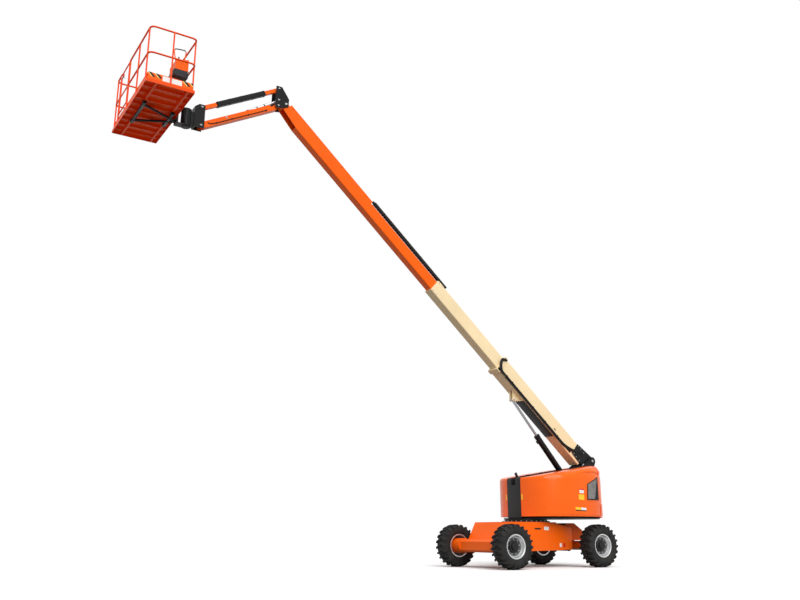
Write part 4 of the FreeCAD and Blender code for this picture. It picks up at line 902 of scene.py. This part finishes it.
class BOOMLIFT_OT_turntable_fittings(bpy.types.Operator):
    """Adds the hoods' seals, hinges, vent mesh and blank markings, and the fittings of the uprights"""
    bl_idname = "boomlift.turntable_fittings"
    bl_label = "Turntable fittings"

    def execute(self, context):
        objects = bpy.data.objects
        slope = Matrix.Rotation(math.atan2(HOOD_RISE, HOOD_RUN), 4, "Y")
        for side, name, foremost in ((1, "left", -0.16), (-1, "right", -0.3)):
            line = [(x, side * 0.257, hood_line(x) + 0.002) for x in (0.27, 0.1, -0.5, -1.0, -1.43)]
            Build("hood_seal_" + name, "hood_" + name + "_body", "seal").tube(line, 0.006, 8).done()
            hinge = Build("hood_hinges_" + name, "turntable", "black")
            for x in (foremost, -0.72, -1.28):
                at = Vector((x, side * 0.222, hood_line(x) + 0.0015))
                hinge.block(at, (0.11, 0.026, 0.006), 0.0015, slope)
                hinge.tube([at + slope @ Vector((end, side * 0.0135, 0.004)) for end in (-0.05, 0.05)], 0.0065, 10)
            hinge.done()
        hood, tail = objects["hood_left_finish"], objects["counterweight_finish"]
        self.vent(hood)
        skin("hood_shoulder", "hood_left_body", "hood", hood,
             [(-0.35, 0.93, 1.87), (-1.415, 0.87, 1.985), (-1.415, 0.62, 2.2), (-0.62, 0.66, 2.1)], -Y - Z,
             lambda u, v: shoulder(v) * (0.5 - 0.5 * math.cos(math.pi * min(1, u * 1.3))), 28)
        skin("tail_shoulder", "turntable", "weight", tail,
             [(-1.458, 0.89, 1.985), (-1.8, 0.545, 1.965), (-1.8, 0.37, 2.14), (-1.458, 0.62, 2.22)], -Y - Z,
             lambda u, v: shoulder(v) * math.cos(math.pi / 2 * u ** 2), 20)
        skin("tail_skirt", "turntable", "weight", tail,
             [(-1.83, 0, 1.115), (-1.458, 0, 1.115), (-1.458, 0, 1.36), (-1.83, 0, 1.36)], -Y, 0.014)
        skin("hood_lip", "hood_left_body", "hood", hood,
             [(-1.42, 0, 1.118), (0.05, 0, 1.118), (0.05, 0, 1.15), (-1.42, 0, 1.15)], -Y, 0.007, 20)
        for name, finish, back, front, low, high, rise in (
                ("caution_blank", "yellow", -0.852, -0.69, 1.44, 1.555, 0.01),
                ("notice_blank", "label", -0.85, -0.72, 1.585, 1.653, 0.007),
                ("notice_band", "red", -0.85, -0.72, 1.655, 1.678, 0.007),
                ("plate_yellow", "yellow", -0.74, -0.575, 1.225, 1.278, 0.007),
                ("plate_white", "label", -0.90, -0.745, 1.218, 1.271, 0.007)):
            skin("hood_" + name, "hood_left_body", finish, hood,
                 [(back, 0, low), (front, 0, low + rise), (front, 0, high + rise), (back, 0, high)], -Y)
        skin("hood_plate_black", "hood_left_body", "seal", hood,
             [(-0.90, 0, 1.196), (-0.575, 0, 1.208), (-0.575, 0, 1.229), (-0.90, 0, 1.215)], -Y)
        for side, name in ((1, "left"), (-1, "right")):
            skin("hood_front_marker_" + name, "hood_" + name + "_body", "yellow", objects["hood_" + name + "_finish"],
                 [(0, side * y, z) for y, z in ((0.252, 1.45), (0.292, 1.45), (0.292, 1.57), (0.252, 1.57))], -X)
        caps = Build("pivot_pin_ends", "base_boom_body", "steel")
        keepers = Build("pivot_keepers", "turntable", "black")
        for side in SIDES:
            caps.pin_head((PIVOT_X, side * 0.2265, PIVOT_Z), Y * side, 0.03)
            keepers.turned(collar(0.042, 0.062, 0, 0.005, 0.007, 0.058), (PIVOT_X, side * 0.2252, PIVOT_Z), Y * side)
            keepers.bolt_ring((PIVOT_X, side * 0.231, PIVOT_Z), X, Z, 0.0525, Y * side, 0.0055, range(30, 360, 60))
        caps.done()
        keepers.done()
        return {"FINISHED"}

    def vent(self, hood):
        """A mesh panel over the side opening, with a black rim, bent as the hood is."""
        tree, steps = BVHTree.FromObject(hood, bpy.context.evaluated_depsgraph_get()), 12

        def side(x, z):
            """The hood's face, taken as straight from below the opening to above it."""
            low, high = (tree.ray_cast(Vector((x, 3, level)), -Y)[0].y for level in (VENT_LOW, VENT_LOW + VENT_RISE))
            return low + (high - low) * (z - VENT_LOW) / VENT_RISE

        def between(outline, u):
            """Where a share u of the way along is, on the lower and on the upper edge of an outline."""
            return [[a * (1 - u) + b * u for a, b in zip(outline[start], outline[end])]
                    for start, end in ((0, 1), (3, 2))]

        for name, finish, outline, lift in (
                ("vent_mesh", "mesh", [(-0.95, 1.465), (-1.36, 1.465), (-1.366, 1.955), (-0.975, 1.785)], 0.017),
                ("vent_corner", "seal", [(-1.2, 1.46), (-1.362, 1.46), (-1.37, 1.965), (-1.352, 1.95)], 0.0195),
                ("vent_sill", "seal", [(-0.94, 1.452), (-1.362, 1.452), (-1.362, 1.47), (-0.945, 1.47)], 0.0195),
                ("vent_top", "seal", [(-0.968, 1.778), (-1.366, 1.945), (-1.368, 1.965), (-0.97, 1.797)], 0.0195),
                ("vent_edge", "seal", [(-0.94, 1.455), (-0.958, 1.455), (-0.985, 1.79), (-0.966, 1.79)], 0.0195)):
            low, top = ([[(x, side(x, z) + depth, z) for x, z in between(outline, i / steps)]
                         for i in range(steps + 1)] for depth in (-0.004, lift))
            piece(name, film(name, low, top), finish, "hood_left_body")


class BOOMLIFT_OT_boom_fittings(bpy.types.Operator):
    """Adds the boom's hoses and clips, wear pad covers, pin heads and the fittings of its tip"""
    bl_idname = "boomlift.boom_fittings"
    bl_label = "Boom fittings"

    def execute(self, context):
        hoses = Build("base_boom_hose_pair", "base_boom_body", "hose", BOOM)
        for low in (-0.325, -0.325 + 0.036):
            hoses.tube(eased([(0.32, 0.187, low + 0.26), (0.44, 0.187, low + 0.19), (0.6, 0.184, low + 0.09),
                              (0.8, 0.175, low + 0.025),
                              *((along, HOSE_RUN, low) for along in (1.0, 1.6, 2.3, 2.9, 3.1))]), 0.0165)
        hoses.done("base_boom_hoses")
        loop = Build("collar_hoses", "base_boom_body", "hose", BOOM)
        for step in (0, 0.037):
            loop.tube(eased([(3.06, HOSE_RUN + step * 0.4, -0.307), (3.18, 0.182 + step * 0.4, -0.307 - step * 0.5),
                             (3.29, 0.196, -0.3 - step), (3.37 + step * 0.6, 0.198, -0.24 - step * 0.8),
                             (3.425 + step, 0.198, -0.16), (3.435 + step, 0.196, -0.1), (3.41 + step, 0.193, -0.055),
                             (3.37 + step, 0.19, -0.03)]), 0.018)
        loop.done()
        # a black plate on the base boom's underside: a dark sheet painted where the underside lies in shade
        Build("base_boom_underside_shade_plate", "base_boom_body", "black", BOOM).block(
            (1.8, 0, -0.3495), (1.16, 0.29, 0.004), 0.0015).done()
        slot = Build("base_boom_slot_cap", "base_boom_body", "black", BOOM)
        clips = Build("base_boom_clips", "base_boom_body", "black", BOOM)
        tail = Build("tail_bracket_bolts", "base_boom_body", "steel", BOOM)
        ends = Build("lift_lug_pin_ends", "base_boom_body", "steel", BOOM)
        pads = Build("middle_boom_pad_screws", "mid_boom_body", "steel", BOOM)
        for along in (1.15, 1.63, 2.1, 2.9, 3.1):
            clips.block((along, 0.174, -0.307), (0.03, 0.038, 0.078), 0.004)
            clips.bolt((along, 0.1925, -0.307), Y, 0.006)
        clips.block((3.385, 0.182, -0.03), (0.05, 0.028, 0.05), 0.004)
        for side in SIDES:
            slot.block((1.29, side * 0.1555, -0.2), (0.075, 0.003, 0.024), 0.001)
            for normal in (-0.318, 0.0):
                clips.block((3.365, side * 0.1695, normal), (0.082, 0.006, 0.05), 0.0015)
                for step in (-0.025, 0.025):
                    clips.bolt((3.365 + step, side * 0.1725, normal), Y * side, 0.006)
            for along, normal in ((0.3, -0.02), (0.42, -0.005), (0.52, -0.01), (0.3, -0.27), (0.42, -0.262),
                                  (0.52, -0.25)):
                tail.bolt((along, side * 0.181, normal), Y * side, 0.011)
            ends.pin_head((LIFT_LUG[0], side * 0.07, LIFT_LUG[1]), Y * side, 0.019)
            for along in (5.69, 5.79):
                for normal in (-0.29, -0.03):
                    pads.bolt((along, side * 0.1275, normal), Y * side, 0.009)
        for build in (slot, clips, tail, ends, pads):
            build.done()
        self.track(context.scene.boomlift_sizes.link_pitch)
        tip = Build("fly_tip_hoses", "fly_boom_body", "hose", BOOM)
        for across in (-0.036, -0.012, 0.012, 0.036):
            tip.tube(eased([(10.3, across, -0.012), (10.7, across, -0.012), (10.87, across, -0.012),
                            (10.93, across * 1.1, -0.013), (10.982, across * 1.2, -0.0145)]), 0.0085, 10)
        tip.done()
        clamp = Build("fly_tip_clamps", "fly_boom_body", "black", BOOM)
        for along in (10.915, 10.98):
            clamp.block((along, 0, -0.0155), (0.02, 0.12, 0.024), 0.004)
            for side in SIDES:
                clamp.bolt((along, side * 0.052, -0.004), Z, 0.005)
        for along in (8.35, 9.2, 10.05, 10.8):
            for side in SIDES:
                clamp.bolt((along, side * 0.0605, 0.0), Y * side, 0.0065)
        clamp.done()
        ends = Build("tip_pin_ends", "tip_bracket_body", "steel")
        for side in SIDES:
            for at, radius in ((JIB_FOOT, JIB_PIN), (JIB_FOOT + Z * JIB_SPREAD, JIB_PIN),
                               (JIB_FOOT + Z * JIB_RAM_RISE, JIB_PIN), (boom(*FLY_TIP), 0.026)):
                ends.pin_head((at.x, side * 0.119, at.z), Y * side, radius, keeper=(-1, 0, 0.3))
        ends.done()
        return {"FINISHED"}

    def track(self, pitch):
        """Links of the hose carrier, with its hoses inside."""
        link = Build("power_track_links", "mid_boom_body", "plastic", BOOM)
        half = [(0.0, 0.02), (0.16, 0.033), (0.34, 0.024), (0.5, 0.024)]
        for side in SIDES:
            for shift, low, high in ((0.0, 0.0335, 0.0375), (pitch / 2, 0.038, 0.042)):
                link.side_plate(side, [(TRACK_START + shift + u * pitch * 1.02, TRACK_MIDDLE + v)
                                       for u, v in half + [(u, -v) for u, v in half[::-1]]], low, high)
            link.knob([(0.0365, 0.011), (0.042, 0.011)], (TRACK_START + pitch * 0.5, 0, TRACK_MIDDLE), Y * side, 8)
        for normal in (0.067, 0.127):
            link.block((TRACK_START + pitch * 0.25, 0, normal), (pitch * 0.3, 0.068, 0.006), 0)
        along = (boom(1, 0, 0) - BOOM_PIVOT) * pitch
        links = link.grow(row_tree, {"Count": int((TRACK_END - TRACK_START + 0.002) / pitch), "Step": tuple(along)},
                          "power_track")
        inside = Build("power_track_hoses", "mid_boom_body", "hose", BOOM)
        for across, radius in ((-0.02, 0.009), (0.0, 0.008), (0.02, 0.009)):
            for normal in (0.084, 0.107):
                inside.tube([(5.57, across, normal), (8.165, across, normal)], radius, 8)
        # the carrier and its hoses get meshes of their own; 0.4 m stays between the carrier's clamp and the tray as
        # the fly section draws in
        for carried in (links, inside.done()):
            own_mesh(carried)


class BOOMLIFT_OT_cylinder_fittings(bpy.types.Operator):
    """Adds the glands, ports and pipes of the lift and jib cylinders"""
    bl_idname = "boomlift.cylinder_fittings"
    bl_label = "Cylinder fittings"

    def execute(self, context):
        for name, space, start, end, radius, rod, finish in (
                ("lift", LIFT, 0.15, 1.96, 0.065, 0.0305, "black"),
                ("jib", JIB_RAM, 0.09, 0.76, 0.033, 0.0205, "red")):
            body, share = name + "_barrel_body", radius / 0.065
            Build(name + "_gland", body, finish, space).turned(
                [(end - 0.05 * share, radius - 0.001), (end - 0.05 * share, radius + 0.006 * share),
                 (end + 0.012 * share, radius + 0.006 * share), (end + 0.018 * share, radius - 0.004 * share),
                 (end + 0.018 * share, rod + 0.0005), (end + 0.001, rod + 0.0005), (end + 0.001, radius - 0.001)],
                (0, 0, 0), X).done()
            ports = Build(name + "_ports", body, "black", space)
            under = -(radius + 0.012 * share)
            for at in (start + 0.12 * share, end - 0.12 * share):
                ports.block((at, 0, under), (0.075 * share, 0.05 * share, 0.04 * share))
                ports.knob([(0, 0.016 * share), (0.014 * share, 0.016 * share)], (at, 0.024 * share, under), Y, 6)
            for at in (0.36, 0.64):
                ports.turned([(-0.012, radius - 0.001), (-0.012, radius + 0.004), (0.012, radius + 0.004),
                              (0.012, radius - 0.001)], (start + (end - start) * at, 0, 0), X)
            ports.done()
            line = -(radius + 0.014 * share)
            Build(name + "_pipe", body, "black", space).tube(
                [(start + 0.14 * share, 0, line), (end - 0.13 * share, 0, line)], 0.008 * share, 10).done()
        return {"FINISHED"}


class BOOMLIFT_OT_jib_fittings(bpy.types.Operator):
    """Adds the jib's pin heads, hoses and the rotator's bolts"""
    bl_idname = "boomlift.jib_fittings"
    bl_label = "Jib fittings"

    def execute(self, context):
        ends = Build("jib_head_pin_ends", "jib_head_body", "steel")
        eye = Build("jib_lug_pin_ends", "jib_lower_body", "steel", JIB_LOW)
        for side in SIDES:
            for rise in (0, JIB_SPREAD):
                ends.pin_head((JIB_END.x, side * 0.094, JIB_END.z + rise), Y * side, JIB_PIN, keeper=(1, 0, 0.1))
            eye.pin_head((JIB_LUG[0], side * 0.075, JIB_LUG[1]), Y * side, 0.02)
        ends.done()
        eye.done()
        Build("jib_arm_hose", "jib_lower_body", "hose", JIB_LOW).tube(
            eased([(along, 0.0835, normal) for along, normal in (
                (0.28, -0.03), (0.45, -0.03), (0.9, -0.03), (1.35, -0.03), (1.56, -0.028), (1.66, -0.01),
                (1.7, 0.02))]), 0.0078, 10).done()
        clips = Build("jib_arm_clips", "jib_lower_body", "black", JIB_LOW)
        for along in (0.32, 0.75, 1.15, 1.52):
            clips.block((along, 0.0825, -0.03), (0.02, 0.017, 0.03))
        clips.done()
        straps = Build("jib_sleeve_straps", "jib_upper_body", "seal", JIB_UP)
        for along in (0.36, 0.64, 0.92, 1.2, 1.47):
            ring = [(-0.0585, -0.041), (-0.0425, -0.0565), (0.0425, -0.0565), (0.0585, -0.041), (0.0585, 0.041),
                    (0.0425, 0.0565), (-0.0425, 0.0565), (-0.0585, 0.041)]
            straps.plate(ring, along - 0.012, along + 0.012, "x", 0.001)
        straps.done()
        rotator = Build("rotator_caps", "platform", "black")
        for z, way in ((8.8892, 1), (8.5178, -1)):
            rotator.knob([(0, 0.088), (0.008, 0.088), (0.012, 0.083), (0.012, 0.05), (0.02, 0.045)],
                         (ROTATOR_X, 0, z), Z * way, 40)
            rotator.bolt_ring((ROTATOR_X, 0, z + way * 0.0115), X, Y, 0.069, Z * way, 0.007, range(0, 360, 45))
        rotator.done()
        return {"FINISHED"}


class BOOMLIFT_OT_platform_fittings(bpy.types.Operator):
    """Makes the round rails and adds the controls, the panel's blank plate and the small fittings"""
    bl_idname = "boomlift.platform_fittings"
    bl_label = "Platform fittings"

    def execute(self, context):
        near, far, end = RAIL_NEAR, RAIL_FAR, RAIL_SIDE
        rails = Build("platform_round_rails", "platform", "platform")
        for z in (RAIL_MIDDLE, RAIL_TOP):
            rails.tube(rounded([(far, -0.208, z), (far, end, z), (near, end, z), (near, -end, z), (far, -end, z),
                                (far, -0.852, z)], 0.1), 0.017, 16)
        feet = Build("rail_feet", "platform", "platform")
        for x, y in ((far, -0.191), (far, -0.869), (far, end - 0.09), (far, 0.48), (near, end - 0.09), (near, 0.03),
                     (near, 0.09 - end), (far, 0.09 - end), (near + 0.44, end), (near + 0.44, -end)):
            rails.tube([(x, y, FLOOR_Z), (x, y, RAIL_TOP)], 0.015, 16)
            feet.turned(collar(0.0145, 0.0169, 0, 0.02, 0.026, 0.0158), (x, y, FLOOR_Z + 0.0005), Z, 16)
        for z in (0.3, 0.9):
            rails.block((far, -0.2055, FLOOR_Z + z + 0.011), (0.018, 0.029, 0.022), 0.002)
        rails.done("platform_rails")
        feet.done()
        Build("floor_tread_bars", "platform", "tread").block(
            (9.1021, -1.14, FLOOR_Z + 0.0015), (0.8, 0.008, 0.004), 0).grow(
            row_tree, {"Count": 58, "Step": (0, 0.04, 0)})
        Build("floor_tread_strips", "platform", "tread").block(
            (8.72, 0, FLOOR_Z + 0.001), (0.006, 2.3, 0.003), 0).grow(row_tree, {"Count": 10, "Step": (0.085, 0, 0)})
        latch = Build("gate_latch", "gate", "steel").block((far, -0.79, FLOOR_Z + 1.0), (0.03, 0.012, 0.05))
        latch.turned(collar(0.0, 0.009, 0, 0.03, 0.034, 0.006), (far - 0.015, -0.79, FLOOR_Z + 1.0), -X, 12).done()
        rings = Build("harness_rings", "platform", "steel")
        for y in (0.85, -0.35, -0.95):
            rings.block((near + 0.0185, y, RAIL_MIDDLE), (0.006, 0.05, 0.04), 0.0015)
            loop = [(near + 0.03 + 0.018 * math.cos(t), y, FLOOR_Z + 0.545 + 0.018 * math.sin(t))
                    for t in (math.radians(30 * k) for k in range(12))]
            rings.tube(loop + loop[:1], 0.004, 8)
        rings.done()
        Build("toe_panel_blank_plate", "platform", "label").plate(
            [(8.89, FLOOR_Z + 0.035), (9.25, FLOOR_Z + 0.035), (9.25, FLOOR_Z + 0.135), (8.89, FLOOR_Z + 0.135)],
            1.1858, 1.1872).done()
        self.controls()
        return {"FINISHED"}

    def controls(self):
        """The switches and levers on the sloping top of the control box, and the door of the cabinet below it."""
        top = 0.0045
        space = Matrix.Translation(DESK) @ Matrix.Rotation(math.atan2(0.07, 0.25), 4, "Y")
        panel = Build("control_panel", "platform", "plastic", space)
        panel.block((0, 0, 0.0015), (0.236, 0.352, 0.006), 0.002)
        for y in (-0.125, 0.12):
            panel.turned([(0, 0.0), (0, 0.027), (0.006, 0.027), (0.012, 0.02), (0.018, 0.022), (0.024, 0.014),
                          (0.03, 0.008), (0.06, 0.006), (0.064, 0.0)], (0.03, y, top), Z, 20)
            panel.turned([(0.055, 0.0), (0.058, 0.011), (0.075, 0.014), (0.088, 0.01), (0.09, 0.0)], (0.03, y, top),
                         Z, 16)
        panel.knob([(0, 0.018), (0.012, 0.016)], (-0.07, 0.12, top), Z, 20).done()
        Build("control_stop", "platform", "red", space).turned(
            [(0, 0.0), (0, 0.009), (0.014, 0.009), (0.016, 0.019), (0.024, 0.018), (0.027, 0.01), (0.028, 0.0)],
            (-0.07, -0.13, top), Z, 24).done()
        step = (space @ Vector((0, 0.028, 0))) - (space @ Vector((0, 0, 0)))
        Build("control_toggles", "platform", "steel", space).turned(
            [(0, 0.0), (0, 0.008), (0.004, 0.008), (0.005, 0.003), (0.018, 0.0035), (0.021, 0.0)],
            (-0.07, -0.085, top), Z, 8).grow(row_tree, {"Count": 7, "Step": tuple(step)})
        door = Build("cabinet_door", "platform", "plastic")
        door.block((CABINET_FACE + 0.0015, 0.61, FLOOR_Z + 0.52), (0.006, 0.38, 0.115), 0.002)
        door.block((CABINET_FACE + 0.006, 0.61, FLOOR_Z + 0.545), (0.008, 0.05, 0.022)).done()


class BOOMLIFT_OT_stage(bpy.types.Operator):
    """Sets the floor, the lamps, the sky and the camera"""
    bl_idname = "boomlift.stage"
    bl_label = "Stage"

    def execute(self, context):
        scene, values = context.scene, context.scene.boomlift_stage
        form = bmesh.new()
        bmesh.ops.create_grid(form, x_segments=1, y_segments=1, size=GROUND_SIZE)
        mesh = poured("floor", form)
        floor = bpy.data.objects.new("floor", mesh)
        scene.collection.objects.link(floor)
        s = Shade("pale floor")
        grain = s.noise(3.0, 3).between(0.2, 0.8)
        pale = s.node("ShaderNodeBsdfDiffuse", None, {"Color": s.mix(grain, (0.985,) * 3, (1.0,) * 3)})
        plain = s.node("ShaderNodeBsdfDiffuse", None, {"Color": (*values.floor, 1)})
        mesh.materials.append(s.close(s.node("ShaderNodeMixShader", None, {0: s.seen(), 1: plain, 2: pale})))

        lamp = bpy.data.lights.new("key lamp", "SUN")
        lamp.energy, lamp.angle = values.sun, KEY_SPREAD
        key = bpy.data.objects.new("key lamp", lamp)
        key.rotation_euler = KEY_FROM.to_track_quat("Z", "Y").to_euler()
        scene.collection.objects.link(key)

        s = Shade("sky", "worlds")
        strength = s.node("ShaderNodeMix", None, {0: s.seen(), 2: values.sky, 3: 1.0})
        scene.world = s.close(s.node("ShaderNodeBackground", None, {"Color": (1, 1, 1, 1), "Strength": strength}))

        lens = bpy.data.cameras.new("camera")
        lens.lens, lens.sensor_width = FOCAL_LENGTH, SENSOR_WIDTH
        camera = bpy.data.objects.new("camera", lens)
        camera.location = CAMERA_AT
        forward = CAMERA_HEADING.normalized() * math.cos(CAMERA_PITCH) + Z * math.sin(CAMERA_PITCH)
        camera.rotation_euler = forward.to_track_quat("-Z", "Y").to_euler()
        scene.collection.objects.link(camera)
        scene.camera = camera
        scene.view_settings.view_transform = "Standard"
        return {"FINISHED"}


class BOOMLIFT_PT_panel(bpy.types.Panel):
    """Lists the pieces of the boom lift"""
    bl_idname = "BOOMLIFT_PT_panel"
    bl_label = "Boom Lift"
    bl_space_type = "VIEW_3D"
    bl_region_type = "UI"
    bl_category = "Boom Lift"

    def draw(self, context):
        for group in (context.scene.boomlift_colours, context.scene.boomlift_sizes, context.scene.boomlift_stage):
            for name in group.__annotations__:
                self.layout.prop(group, name)
        for operator in OPERATORS:
            self.layout.operator(operator.bl_idname)


OPERATORS = (BOOMLIFT_OT_stage, BOOMLIFT_OT_finishes, BOOMLIFT_OT_tyres, BOOMLIFT_OT_rims,
             BOOMLIFT_OT_chassis_fittings, BOOMLIFT_OT_turntable_fittings, BOOMLIFT_OT_boom_fittings,
             BOOMLIFT_OT_cylinder_fittings, BOOMLIFT_OT_jib_fittings, BOOMLIFT_OT_platform_fittings)
CLASSES = (BOOMLIFT_Colours, BOOMLIFT_Sizes, BOOMLIFT_Stage, *OPERATORS, BOOMLIFT_PT_panel)


def register():
    for item in CLASSES:
        bpy.utils.register_class(item)
    bpy.types.Scene.boomlift_colours = PointerProperty(type=BOOMLIFT_Colours)
    bpy.types.Scene.boomlift_sizes = PointerProperty(type=BOOMLIFT_Sizes)
    bpy.types.Scene.boomlift_stage = PointerProperty(type=BOOMLIFT_Stage)


def unregister():
    del bpy.types.Scene.boomlift_colours
    del bpy.types.Scene.boomlift_sizes
    del bpy.types.Scene.boomlift_stage
    for item in reversed(CLASSES):
        bpy.utils.unregister_class(item)


def main():
    register()
    for operator in OPERATORS:
        group, name = operator.bl_idname.split(".")
        getattr(getattr(bpy.ops, group), name)()


if __name__ == "__main__":
    main()
